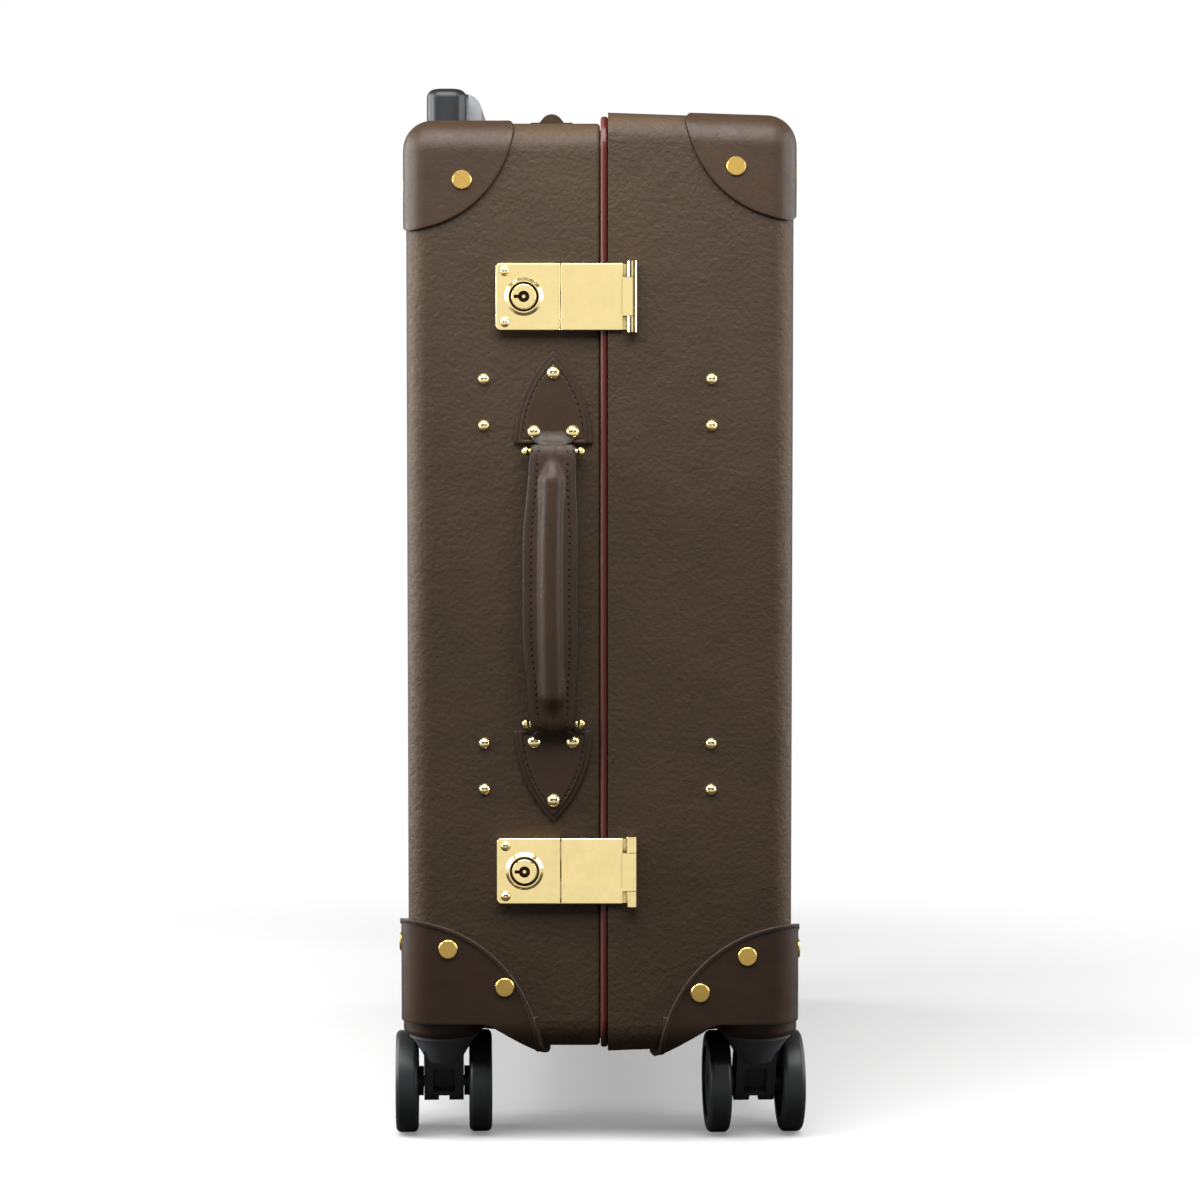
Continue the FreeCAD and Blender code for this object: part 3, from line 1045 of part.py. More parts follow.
def casters():
    """Four casters. The two behind trail opposite ways, so that they pass each other when the case opens."""
    cup, fork, axle, wheel = caster()
    other = mirrored("wheel_other", wheel, (1, 0, 0))
    cups = {"back": [], "front": []}
    for side, x, outward in (("back", "-caster_x", -1), ("front", "caster_x", 1)):
        for edge, y in (("lock", "-caster_y"), ("hinge", "caster_y")):
            name = f"{side}_{edge}"
            turn = 180 if name == "back_hinge" else 0
            place = (x, y, "0")
            yaw = FreeCAD.Rotation(FreeCAD.Vector(0, 0, 1), size("caster_yaw") + turn)
            outer, inner = (wheel, other) if (outward > 0) == (turn == 0) else (other, wheel)
            cups[side].append(placed(f"{name}_cup", cup, place))
            placed(f"{name}_fork", fork, place, yaw)
            placed(f"{name}_axle", axle, place, yaw)
            placed(f"{name}_wheel_out", outer, place, yaw)
            placed(f"{name}_wheel_in", inner, place, yaw)
    group("back_caster_cups", *cups["back"])
    group("front_caster_cups", *cups["front"])


back_tray, back_room = case_half("back")
front_tray, front_room = case_half("front")
front_tray.Label = "front_shell"
for half, room in (("back", back_room), ("front", front_room)):
    packing_straps(half, lining(half, room))
sleeve_holes = trolley(back_room, doc.getObject("back_outer"))
cut("back_shell", back_tray, sleeve_holes)
edge_band()
locks(doc.getObject("front_outer"))
handles()
case_hinges(doc.getObject("front_outer"))
case_rivets()
casters()
doc.recompute()

SUB_PARTS = [
    "back_shell", "back_lining", "back_top_corners", "back_base_guards", "back_corner_rivets",
    "back_dome_rivets", "back_packing_straps", "back_strap_buckles", "back_hinge_leaves",
    "back_caster_cups", "case_hinge_pins", "upper_lock_case", "lower_lock_case", "handle_chapes",
    "handle_pins", "handle_rivets", "trolley_foot", "trolley_outer_tubes", "trolley_bezel",
    "front_shell", "front_lining", "front_top_corners", "front_base_guards", "front_corner_rivets",
    "front_dome_rivets", "front_packing_straps", "front_strap_buckles", "front_hinge_leaves",
    "front_caster_cups", "rim_band", "hasp_leaves", "hasp_pins",
    "upper_hasp", "lower_hasp", "upper_key_barrel", "lower_key_barrel", "upper_lock_bolt",
    "lower_lock_bolt", "trolley_middle_tubes", "trolley_inner_tubes", "trolley_grip",
    "trolley_button", "side_handle_grip", "top_handle_grip",
]
for half in ("back", "front"):
    for edge in ("lock", "hinge"):
        SUB_PARTS += [f"{half}_{edge}_{piece}" for piece in ("fork", "axle", "wheel_in", "wheel_out")]

faults = [item.Name for item in doc.Objects if {"Invalid", "Error"} & set(item.State)]
nodes = {name: doc.getObjectsByLabel(name)[0] for name in SUB_PARTS}
for name, node in nodes.items():
    if node.Shape.isNull() or not node.Shape.isValid() or not node.Shape.Solids:
        faults.append(f"{name} (shape)")
if faults:
    raise RuntimeError("not built: " + ", ".join(faults))

os.makedirs("parts", exist_ok=True)
for name, node in nodes.items():
    node.Shape.exportStep(f"parts/{name}.step")
    print(name, len(node.Shape.Solids), "solids", round(node.Shape.Volume), "mm3")
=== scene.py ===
# %% [markdown]
# # A carry-on suitcase in brown fibre, leather and brass
# The engineering model already holds every rigid part in its place, in metres: X runs from the back
# tray to the front tray, Y from the lock side to the hinge side, and Z up from the floor.
# This lesson gives those parts their finishes and makes the leather and cloth pieces anew,
# because a solid modeller leaves soft things plain.

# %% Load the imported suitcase
import math

import bmesh
import bpy
import numpy as np
from mathutils import Matrix, Vector, noise


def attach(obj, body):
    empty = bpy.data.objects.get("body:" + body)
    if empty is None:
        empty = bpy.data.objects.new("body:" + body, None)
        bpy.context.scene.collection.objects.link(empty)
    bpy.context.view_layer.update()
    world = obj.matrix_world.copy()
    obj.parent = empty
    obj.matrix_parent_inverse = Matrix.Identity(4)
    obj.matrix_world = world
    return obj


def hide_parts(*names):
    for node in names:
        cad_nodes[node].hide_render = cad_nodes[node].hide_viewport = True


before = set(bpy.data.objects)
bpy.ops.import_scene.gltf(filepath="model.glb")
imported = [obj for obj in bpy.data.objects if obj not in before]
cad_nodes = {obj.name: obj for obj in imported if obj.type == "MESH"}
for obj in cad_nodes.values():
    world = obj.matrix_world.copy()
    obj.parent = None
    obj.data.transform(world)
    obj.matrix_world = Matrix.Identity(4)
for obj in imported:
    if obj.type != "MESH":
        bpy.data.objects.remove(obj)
scene = bpy.context.scene
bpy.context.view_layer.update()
MM = 0.001

# %% [markdown]
# ## Camera
# The photograph looks square at the lock side from about a metre and a half, a little downwards.
# A camera could be framed by eye, but the locks, rivets and corners have known places, so its distance,
# tilt and focal length were worked out from them and are written here as numbers.

# %% Place the camera
PICTURE_SIDE = 1200
FOCAL_PIXELS = 2850.5
CAMERA_TILT = 3.0
CAMERA_PLACE = (0, -1.697, 0.3707)
SENSOR_WIDTH = 36.0
camera_data = bpy.data.cameras.new("camera")
camera_data.sensor_width = SENSOR_WIDTH
camera_data.lens = SENSOR_WIDTH * FOCAL_PIXELS / PICTURE_SIDE
camera = bpy.data.objects.new("camera", camera_data)
camera.location = CAMERA_PLACE
camera.rotation_euler = (math.radians(90 - CAMERA_TILT), 0, 0)
scene.collection.objects.link(camera)
scene.camera = camera
scene.view_settings.view_transform = "Standard"
print("focal length in mm:", round(camera_data.lens, 1))

# %% [markdown]
# ## Node and colour helpers
# Materials are graphs of nodes. One small function adds a node, sets its values and wires its inputs,
# so that each finish reads as a list of what it is made of. Colours are written as sRGB hex, the way a
# colour picker shows them, and one function turns them into the linear values that shaders work with.
# Hardly any real surface has one even colour, so another makes a colour lighter and darker in patches.


# %% Define the helpers
NOISE_SPAN = {"From Min": 0.3, "From Max": 0.7}


def add(tree, kind, settings=None, links=None):
    """Adds one node; settings are properties or input values, links are outputs to wire in."""
    node = tree.nodes.new(kind)
    for key, value in (settings or {}).items():
        if isinstance(key, int) or key in node.inputs:
            node.inputs[key].default_value = value
        else:
            setattr(node, key, value)
    for key, source in (links or {}).items():
        tree.links.new(source, node.inputs[key])
    return node


def linear(code):
    """An sRGB hex colour as linear red, green, blue and alpha."""
    parts = [int(code[i:i + 2], 16) / 255 for i in (1, 3, 5)]
    return [c / 12.92 if c <= 0.04045 else ((c + 0.055) / 1.055) ** 2.4 for c in parts] + [1.0]


def per_mm(size):
    """Texture scale, in repeats per metre, for a pattern whose features are this many mm wide."""
    return 1 / (size * MM)


def per_band(spacing, steps=20):
    """Wave texture scale for bands this many mm apart; it turns 20 radians a unit, 10 on its diagonal."""
    return math.tau / (steps * spacing * MM)


def blank_material(name):
    """A new material with one shader, and the place on the object in metres."""
    material = bpy.data.materials.new(name)
    material.use_nodes = True
    tree = material.node_tree
    tree.nodes.clear()
    shader = add(tree, "ShaderNodeBsdfPrincipled")
    add(tree, "ShaderNodeOutputMaterial", links={"Surface": shader.outputs["BSDF"]})
    place = add(tree, "ShaderNodeTexCoord").outputs["Object"]
    return material, tree, shader, place


def patchy(tree, place, colour, patch_mm, detail, darkest, lightest):
    """A colour multiplied by slow noise, whose values lie mostly within its span."""
    patches = add(tree, "ShaderNodeTexNoise", {"Scale": per_mm(patch_mm), "Detail": detail},
                  {"Vector": place})
    shade = add(tree, "ShaderNodeMapRange", {**NOISE_SPAN, "To Min": darkest, "To Max": lightest},
                {"Value": patches.outputs["Fac"]})
    return add(tree, "ShaderNodeVectorMath", {"operation": "SCALE", 0: linear(colour)[:3]},
               {"Scale": shade.outputs[0]})


def wire(tree, shader, colour, roughness, normal):
    """Gives a shader its colour, its roughness and its bumped normal."""
    tree.links.new(colour, shader.inputs["Base Color"])
    tree.links.new(roughness, shader.inputs["Roughness"])
    tree.links.new(normal, shader.inputs["Normal"])


print("fibre brown as linear:", [round(v, 3) for v in linear("#34281c")])

# %% [markdown]
# ## Studio
# The photograph is a catalogue shot: white all round, one soft box close above the front edge, one further
# off at each side, two more behind those that only reach the rounded edges, and a pale floor with a soft
# shadow. A close lamp fades quickly with distance, and that is why the case is pale at its top and dark at
# its foot. The world gives plain grey light. Only the camera sees it white, and reflections see small white
# cards before and behind the case, so flat brass shines while round brass keeps its dark reflections.
# The floor is matt near the case, where it takes the shadow, and glows further out, so that no horizon shows.
# Only the camera and reflections see the glow, so it does not light the case from below.

# %% Light the studio
PLAIN_LIGHT, CARD_LIGHT = 0.125, 1.06
CARD_EDGE, CARD_CORE = 0.95, 0.985
world = bpy.data.worlds.new("white_studio")
scene.world = world
world.use_nodes = True
sky = world.node_tree
sky.nodes.clear()
ray = add(sky, "ShaderNodeLightPath").outputs
way = add(sky, "ShaderNodeTexCoord").outputs["Generated"]
ahead = add(sky, "ShaderNodeVectorMath", {"operation": "DOT_PRODUCT", 1: (0, 1, 0)}, {0: way})
level_way = add(sky, "ShaderNodeMath", {"operation": "ABSOLUTE"}, {0: ahead.outputs["Value"]})
card = add(sky, "ShaderNodeMapRange",
           {"interpolation_type": "SMOOTHSTEP", "From Min": CARD_EDGE, "From Max": CARD_CORE,
            "To Min": PLAIN_LIGHT, "To Max": CARD_LIGHT}, {"Value": level_way.outputs[0]})
mirrored = add(sky, "ShaderNodeMapRange", {"To Min": PLAIN_LIGHT},
               {"Value": ray["Is Glossy Ray"], "To Max": card.outputs[0]})
level = add(sky, "ShaderNodeMath", {"operation": "MAXIMUM"},
            {0: ray["Is Camera Ray"], 1: mirrored.outputs[0]})
paper = add(sky, "ShaderNodeBackground", {"Color": linear("#ffffff")}, {"Strength": level.outputs[0]})
add(sky, "ShaderNodeOutputWorld", links={"Surface": paper.outputs[0]})

SOFT_BOXES = {
    "overhead_box": {"place": (-0.05, -0.62, 1.08), "aim": (0, -0.15, 0.4), "size": (1.2, 0.6), "watts": 26},
    "left_box": {"place": (-1.5, -0.45, 0.8), "aim": (0, 0, 0.4), "size": (0.5, 1.1), "watts": 28},
    "right_box": {"place": (1.5, -0.45, 0.8), "aim": (0, 0, 0.4), "size": (0.5, 1.1), "watts": 18},
    "left_rim_box": {"place": (-1.0, 0.25, 0.45), "aim": (-0.1, -0.1, 0.3), "size": (0.5, 1.2), "watts": 16},
    "right_rim_box": {"place": (1.0, 0.25, 0.45), "aim": (0.1, -0.1, 0.3), "size": (0.5, 1.2), "watts": 9},
}
for name, box in SOFT_BOXES.items():
    lamp = bpy.data.lights.new(name, "AREA")
    lamp.shape = "RECTANGLE"
    lamp.size, lamp.size_y = box["size"]
    lamp.energy = box["watts"]
    holder = bpy.data.objects.new(name, lamp)
    holder.location = box["place"]
    holder.rotation_euler = (Vector(box["aim"]) - holder.location).to_track_quat("-Z", "Y").to_euler()
    scene.collection.objects.link(holder)

# %% Lay the floor
FLOOR_RADIUS, SHADOW_GLOW = 6.0, 0.2
SHADOW_REACH, WHITE_REACH = 0.38, 0.72
MIRROR_REACH, MIRROR_WHITE = 0.42, 0.9
floor_mesh = bpy.data.meshes.new("floor")
ring = bmesh.new()
bmesh.ops.create_circle(ring, cap_ends=True, segments=96, radius=FLOOR_RADIUS)
ring.to_mesh(floor_mesh)
ring.free()
floor = bpy.data.objects.new("floor", floor_mesh)
scene.collection.objects.link(floor)
matt_paper = bpy.data.materials.new("matt_white_paper")
matt_paper.use_nodes = True
sheet = matt_paper.node_tree
sheet.nodes.clear()
spot = add(sheet, "ShaderNodeTexCoord").outputs["Object"]
seen_by = add(sheet, "ShaderNodeLightPath").outputs
looked_at = seen_by["Is Camera Ray"]
reach = add(sheet, "ShaderNodeVectorMath", {"operation": "LENGTH"}, {0: spot})
far = add(sheet, "ShaderNodeMapRange",
          {"interpolation_type": "SMOOTHSTEP", "From Min": SHADOW_REACH, "From Max": WHITE_REACH},
          {"Value": reach.outputs["Value"]})
tone = add(sheet, "ShaderNodeMix", {"data_type": "RGBA", 6: linear("#404040"), 7: linear("#b4b4b4")},
           {0: looked_at})
near_paper = add(sheet, "ShaderNodeBsdfDiffuse", links={"Color": tone.outputs[2]})
faded = add(sheet, "ShaderNodeMixShader", links={0: far.outputs[0], 1: near_paper.outputs[0]})
glow = add(sheet, "ShaderNodeMapRange", {"To Min": SHADOW_GLOW, "To Max": 1.0}, {"Value": far.outputs[0]})
seen_glow = add(sheet, "ShaderNodeMath", {"operation": "MULTIPLY"}, {0: glow.outputs[0], 1: looked_at})
distant = add(sheet, "ShaderNodeMapRange",
              {"interpolation_type": "SMOOTHSTEP", "From Min": MIRROR_REACH, "From Max": MIRROR_WHITE},
              {"Value": reach.outputs["Value"]})
mirror_glow = add(sheet, "ShaderNodeMath", {"operation": "MULTIPLY"},
                  {0: distant.outputs[0], 1: seen_by["Is Glossy Ray"]})
any_glow = add(sheet, "ShaderNodeMath", {"operation": "MAXIMUM"},
               {0: seen_glow.outputs[0], 1: mirror_glow.outputs[0]})
lit_paper = add(sheet, "ShaderNodeEmission", {"Color": linear("#ffffff")}, {"Strength": any_glow.outputs[0]})
both = add(sheet, "ShaderNodeAddShader", links={0: faded.outputs[0], 1: lit_paper.outputs[0]})
add(sheet, "ShaderNodeOutputMaterial", links={"Surface": both.outputs[0]})
floor_mesh.materials.append(matt_paper)
print("studio:", len(SOFT_BOXES), "soft boxes")

# %% [markdown]
# ## Vulcanised fibre
# The trays are vulcanised fibre: paper plies pressed into one tough board, dyed brown, rolled with a fine
# pebble grain and lacquered. It looks like card and leather at once: a satin sheet with small lumps two or
# three millimetres wide, slow waves from the press, and rounded corners a little paler, partly from rubbing
# and partly as a painted highlight; sharp edges get a thin paler line, a painted highlight too. An image
# could give that, but noise at real sizes tiles nowhere and works on every face of the tray. The base guards
# are moulded nylon with a finer grain, and the same graph serves them, with a brighter painted highlight
# along their edges.


# %% Make the fibre
def brown_board(name, colour, wear_and_highlight, painted_highlight, grain_mm, grain_height_mm, roughness, edge_mm):
    """A dyed, grained and lacquered brown surface, paler on its rounded corners from wear and a painted
    highlight, and with a painted highlight along its sharp edges.
    """
    material, tree, shader, place = blank_material(name)
    dye = patchy(tree, place, colour, 45, 3.0, 0.9, 1.1)
    facing = add(tree, "ShaderNodeTexCoord").outputs["Normal"]
    side = add(tree, "ShaderNodeVectorMath", {"operation": "ABSOLUTE"}, {0: facing})
    steep = add(tree, "ShaderNodeVectorMath", {"operation": "POWER", 1: (4, 4, 4)}, {0: side.outputs[0]})
    flat = add(tree, "ShaderNodeVectorMath", {"operation": "DOT_PRODUCT", 1: (1, 1, 1)},
               {0: steep.outputs[0]})
    patch = add(tree, "ShaderNodeTexNoise", {"Scale": per_mm(9), "Detail": 4.0}, {"Vector": place})
    edge = add(tree, "ShaderNodeMapRange", {"From Min": 0.95, "From Max": 0.5, "To Max": 0.75},
               {"Value": flat.outputs["Value"]})
    # Rounded corners take a paler colour in patches: partly wear, partly a painted highlight.
    wear_and_highlight_mask = add(tree, "ShaderNodeMath", {"operation": "MULTIPLY"},
                 {0: edge.outputs[0], 1: patch.outputs["Fac"]})
    skin = add(tree, "ShaderNodeMix", {"data_type": "RGBA", 7: linear(wear_and_highlight)},
               {0: wear_and_highlight_mask.outputs[0], 6: dye.outputs[0]})
    pebble = add(tree, "ShaderNodeTexNoise", {"Scale": per_mm(grain_mm), "Detail": 2.5, "Roughness": 0.55},
                 {"Vector": place})
    wave = add(tree, "ShaderNodeTexNoise", {"Scale": per_mm(16), "Detail": 1.0}, {"Vector": place})
    eased = add(tree, "ShaderNodeBevel", {"samples": 6, "Radius": edge_mm * MM})
    straight = add(tree, "ShaderNodeNewGeometry").outputs["Normal"]
    turn = add(tree, "ShaderNodeVectorMath", {"operation": "DOT_PRODUCT"}, {0: eased.outputs[0], 1: straight})
    # Sharp edges, found by the bevelled normal, take a paler colour: a painted highlight.
    edge_highlight_mask = add(tree, "ShaderNodeMapRange", {"From Min": 0.99, "From Max": 0.85},
                {"Value": turn.outputs["Value"]})
    face = add(tree, "ShaderNodeMix", {"data_type": "RGBA", 7: linear(painted_highlight)},
               {0: edge_highlight_mask.outputs[0], 6: skin.outputs[2]})
    lumps = add(tree, "ShaderNodeBump", {"Strength": 1.0, "Distance": grain_height_mm * MM},
                {"Height": pebble.outputs["Fac"], "Normal": eased.outputs[0]})
    press = add(tree, "ShaderNodeBump", {"Strength": 1.0, "Distance": 0.5 * MM},
                {"Height": wave.outputs["Fac"], "Normal": lumps.outputs[0]})
    matt = add(tree, "ShaderNodeMapRange",
               {**NOISE_SPAN, "To Min": roughness - 0.05, "To Max": roughness + 0.07},
               {"Value": pebble.outputs["Fac"]})
    wire(tree, shader, face.outputs[2], matt.outputs[0], press.outputs[0])
    shader.inputs["IOR"].default_value = 1.5
    shader.inputs["Specular IOR Level"].default_value = 0.2
    return material


# The last colour of each board is its painted highlight along sharp edges, pale grey-brown on the guards.
vulcanised_fibre = brown_board("vulcanised_fibre", "#34281c", "#4c3b2a", "#4c3b2a", grain_mm=2.6,
                               grain_height_mm=0.52, roughness=0.55, edge_mm=0.3)
moulded_guard = brown_board("moulded_brown_nylon", "#2a1d13", "#3c2b1e", "#4a433c", grain_mm=1.4,
                            grain_height_mm=0.06, roughness=0.46, edge_mm=1.2)
print("fibre and guard finishes made")

# %% [markdown]
# ## Leather
# The corners, handles and straps are vegetable-tanned cowhide, dyed through and waxed smooth. Close up it
# has pores and short creases; from a step away it is satin brown with slow changes of tone, and its cut edges
# are rubbed down dark. Pores are really a third of a millimetre wide, too fine for this picture, so they are
# drawn at just under one. The pieces below carry a value called burnish, 1 on a cut edge, which darkens it.


# %% Make the leathers
def waxed_cowhide(name, colour, edge_colour, roughness):
    """Smooth waxed leather with pores, creases and dark rubbed edges."""
    material, tree, shader, place = blank_material(name)
    dye = patchy(tree, place, colour, 28, 4.0, 0.88, 1.12)
    edge = add(tree, "ShaderNodeAttribute", {"attribute_name": "burnish"})
    skin = add(tree, "ShaderNodeMix", {"data_type": "RGBA", 7: linear(edge_colour)},
               {0: edge.outputs["Fac"], 6: dye.outputs[0]})
    pores = add(tree, "ShaderNodeTexVoronoi", {"Scale": per_mm(0.9)}, {"Vector": place})
    creases = add(tree, "ShaderNodeTexNoise", {"Scale": per_mm(4), "Detail": 5.0, "Distortion": 1.2},
                  {"Vector": place})
    fine = add(tree, "ShaderNodeBump", {"Strength": 1.0, "Distance": 0.03 * MM},
               {"Height": pores.outputs["Distance"]})
    folds = add(tree, "ShaderNodeBump", {"Strength": 1.0, "Distance": 0.16 * MM},
                {"Height": creases.outputs["Fac"], "Normal": fine.outputs[0]})
    matt = add(tree, "ShaderNodeMapRange",
               {**NOISE_SPAN, "To Min": roughness - 0.06, "To Max": roughness + 0.08},
               {"Value": creases.outputs["Fac"]})
    wire(tree, shader, skin.outputs[2], matt.outputs[0], folds.outputs[0])
    shader.inputs["IOR"].default_value = 1.5
    shader.inputs["Specular IOR Level"].default_value = 0.24
    return material


corner_leather = waxed_cowhide("waxed_cowhide_corner", "#312317", "#170f0b", 0.46)
handle_leather = waxed_cowhide("waxed_cowhide_handle", "#2d1f12", "#120c09", 0.44)
strap_leather = waxed_cowhide("waxed_cowhide_strap", "#3d261a", "#1c110b", 0.48)
print("three leathers made")

# %% [markdown]
# ## Thread
# The seams are sewn with waxed linen cord, nearly black. Wax dulls it, and its twist gives a fine slant,
# really one every millimetre, drawn as a wave of two and a half so that it shows.

# %% Make the thread
TWIST_SPACING = 2.51
waxed_linen, tree, shader, place = blank_material("waxed_linen_thread")
twist = add(tree, "ShaderNodeTexWave",
            {"Scale": per_band(TWIST_SPACING, 10), "bands_direction": "DIAGONAL"}, {"Vector": place})
strand = add(tree, "ShaderNodeMix", {"data_type": "RGBA", 6: linear("#080605"), 7: linear("#15100d")},
             {0: twist.outputs["Fac"]})
relief = add(tree, "ShaderNodeBump", {"Distance": 0.06 * MM}, {"Height": twist.outputs["Fac"]})
tree.links.new(strand.outputs[2], shader.inputs["Base Color"])
tree.links.new(relief.outputs[0], shader.inputs["Normal"])
shader.inputs["Roughness"].default_value = 0.7
shader.inputs["Specular IOR Level"].default_value = 0.2

# %% [markdown]
# ## Lacquered edge band
# The seam is closed by a burgundy band: fibre bent round the front tray, sanded and lacquered in several
# coats. Lacquer is glossy and clear over the colour, so a coat layer carries the sharp highlight while the
# colour beneath stays softer. Brush-wide changes of tone run along it, and the strip that meets the back
# tray is painted paler than the rest, a painted highlight.

# %% Make the lacquer
burgundy_lacquer, tree, shader, place = blank_material("burgundy_lacquer")
streak = add(tree, "ShaderNodeMapping", {"Scale": (1.0, 0.12, 0.12)}, {"Vector": place})
tone = add(tree, "ShaderNodeTexNoise", {"Scale": per_mm(6), "Detail": 3.0}, {"Vector": streak.outputs[0]})
coat = add(tree, "ShaderNodeMix", {"data_type": "RGBA", 6: linear("#36100d"), 7: linear("#451511")},
           {0: tone.outputs["Fac"]})
# The strip of the band nearest the back tray is painted a paler colour: a painted highlight.
LIP_EDGE, LIP_FADE = 1.9, 0.2
across = add(tree, "ShaderNodeSeparateXYZ", links={0: place}).outputs["X"]
painted_highlight = add(tree, "ShaderNodeMapRange",
          {"From Min": (LIP_EDGE + LIP_FADE) * MM, "From Max": (LIP_EDGE - LIP_FADE) * MM},
          {"Value": across})
highlighted_coat = add(tree, "ShaderNodeMix", {"data_type": "RGBA", 7: linear("#543029")},
                  {0: painted_highlight.outputs[0], 6: coat.outputs[2]})
brush = add(tree, "ShaderNodeBump", {"Distance": 0.05 * MM}, {"Height": tone.outputs["Fac"]})
tree.links.new(highlighted_coat.outputs[2], shader.inputs["Base Color"])
tree.links.new(brush.outputs[0], shader.inputs["Normal"])
shader.inputs["Roughness"].default_value = 0.34
shader.inputs["Specular IOR Level"].default_value = 0.2
shader.inputs["Coat Weight"].default_value = 0.12
shader.inputs["Coat Roughness"].default_value = 0.16
print("thread and lacquer made")

# %% [markdown]
# ## Brass
# Locks, domed rivets and handle pins are brass, polished and gold plated: nearly a mirror, with a faint haze
# from the buffing wheel. The flat corner rivets are plain brass that was only tumbled, so they are softer and
# deeper in colour. A metal's colour is its reflection, so both keep the default IOR and differ in roughness.
# Nooks are painted darker, found by occlusion: a corner that is shut in on most sides gets a painted
# shade of dark brown. The same graph makes the drawn steel of bolts, axles and hinge pins, and the anodised
# trolley tubes.


# %% Make the metals
SHADE_REACH = 3.0


def worked_metal(name, colour, haze, spread, grain_mm, grain_stretch, grain_height_mm):
    """A metal whose roughness and fine relief follow the marks of its polishing."""
    material, tree, shader, place = blank_material(name)
    lay = add(tree, "ShaderNodeMapping", {"Scale": grain_stretch}, {"Vector": place})
    marks = add(tree, "ShaderNodeTexNoise", {"Scale": per_mm(grain_mm), "Detail": 4.0},
                {"Vector": lay.outputs[0]})
    polish = add(tree, "ShaderNodeMapRange",
                 {"From Min": 0.25, "From Max": 0.75, "To Min": haze - spread, "To Max": haze + spread},
                 {"Value": marks.outputs["Fac"]})
    relief = add(tree, "ShaderNodeBump", {"Distance": grain_height_mm * MM}, {"Height": marks.outputs["Fac"]})
    metal = patchy(tree, place, colour, 14, 3.0, 0.95, 1.0)
    # Occlusion paints shade: where a point is shut in, its colour goes to a dark brown, a painted shade.
    nook = add(tree, "ShaderNodeAmbientOcclusion", {"samples": 8, "Distance": SHADE_REACH * MM})
    unshaded = add(tree, "ShaderNodeMapRange", {"From Min": 0.2, "From Max": 0.65},
                {"Value": nook.outputs["AO"]})
    painted_shade_metal = add(tree, "ShaderNodeMix", {"data_type": "RGBA", 6: linear("#21170d")},
               {0: unshaded.outputs[0], 7: metal.outputs[0]})
    wire(tree, shader, painted_shade_metal.outputs[2], polish.outputs[0], relief.outputs[0])
    shader.inputs["Metallic"].default_value = 1.0
    return material


gold_plate = worked_metal("gold_plated_brass", "#f7e0a0", 0.17, 0.05, 3, (1, 1, 1), 0.004)
barrel_plate = worked_metal("gold_plated_key_barrel", "#f7e0a0", 0.17, 0.05, 3, (1, 1, 1), 0.004)
tumbled_brass = worked_metal("tumbled_brass", "#cfaa5c", 0.3, 0.06, 0.8, (1, 1, 1), 0.02)
drawn_steel = worked_metal("drawn_steel", "#c4c4c6", 0.3, 0.08, 0.8, (1, 1, 0.08), 0.01)
anodised_tube = worked_metal("anodised_aluminium", "#c9cacd", 0.34, 0.05, 0.9, (1, 1, 0.03), 0.015)
print("four metals made, one of them twice")

# %% [markdown]
# ## Keyways
# The bottom of each keyway is painted dark, a painted shade in the recess. The keyway is a real recess in
# the model; whatever is deeper than its rim, and near the axis of the barrel, is given a dark brown as
# painted shade. One lock is as far above a middle height as the other is below it, so folding the height
# there serves the two of them with one axis.

# %% Darken the keyways
KEYWAY_RIM, KEYWAY_REACH = -203.8, 5.5
BARREL_X, LOCKS_MIDDLE, LOCK_STEP = -39.8, 300.0, 151.0
tree = barrel_plate.node_tree
shader = tree.nodes["Principled BSDF"]
place = add(tree, "ShaderNodeTexCoord").outputs["Object"]
depth = add(tree, "ShaderNodeSeparateXYZ", links={0: place}).outputs["Y"]
sunk = add(tree, "ShaderNodeMath", {"operation": "GREATER_THAN", 1: KEYWAY_RIM * MM}, {0: depth})
centred = add(tree, "ShaderNodeVectorMath",
              {"operation": "SUBTRACT", 1: (BARREL_X * MM, 0, LOCKS_MIDDLE * MM)}, {0: place})
folded = add(tree, "ShaderNodeVectorMath", {"operation": "ABSOLUTE"}, {0: centred.outputs[0]})
off_axis = add(tree, "ShaderNodeVectorMath",
               {"operation": "MULTIPLY_ADD", 1: (1, 0, 1), 2: (0, 0, -LOCK_STEP * MM)},
               {0: folded.outputs[0]})
radius = add(tree, "ShaderNodeVectorMath", {"operation": "LENGTH"}, {0: off_axis.outputs[0]})
within = add(tree, "ShaderNodeMath", {"operation": "LESS_THAN", 1: KEYWAY_REACH * MM},
             {0: radius.outputs["Value"]})
keyway = add(tree, "ShaderNodeMath", {"operation": "MULTIPLY"}, {0: sunk.outputs[0], 1: within.outputs[0]})
bright = shader.inputs["Base Color"].links[0].from_socket
# Painted shade: the deep middle of each keyway takes a dark brown.
keyway_painted_shade = add(tree, "ShaderNodeMix", {"data_type": "RGBA", 7: linear("#2a1d10")},
           {0: keyway.outputs[0], 6: bright})
tree.links.new(keyway_painted_shade.outputs[2], shader.inputs["Base Color"])
print("keyways darkened")

# %% [markdown]
# ## Moulded plastics
# The caster forks are glass-filled nylon, dark grey, and the tyres polyurethane, nearly black; the trolley's
# bezel, foot and button are charcoal ABS. Moulds for such parts are spark eroded, which leaves a fine even
# texture, really a quarter of a millimetre and drawn at three quarters here, and a satin sheen.


# %% Make the plastics
SPARK_TEXTURE = 0.75


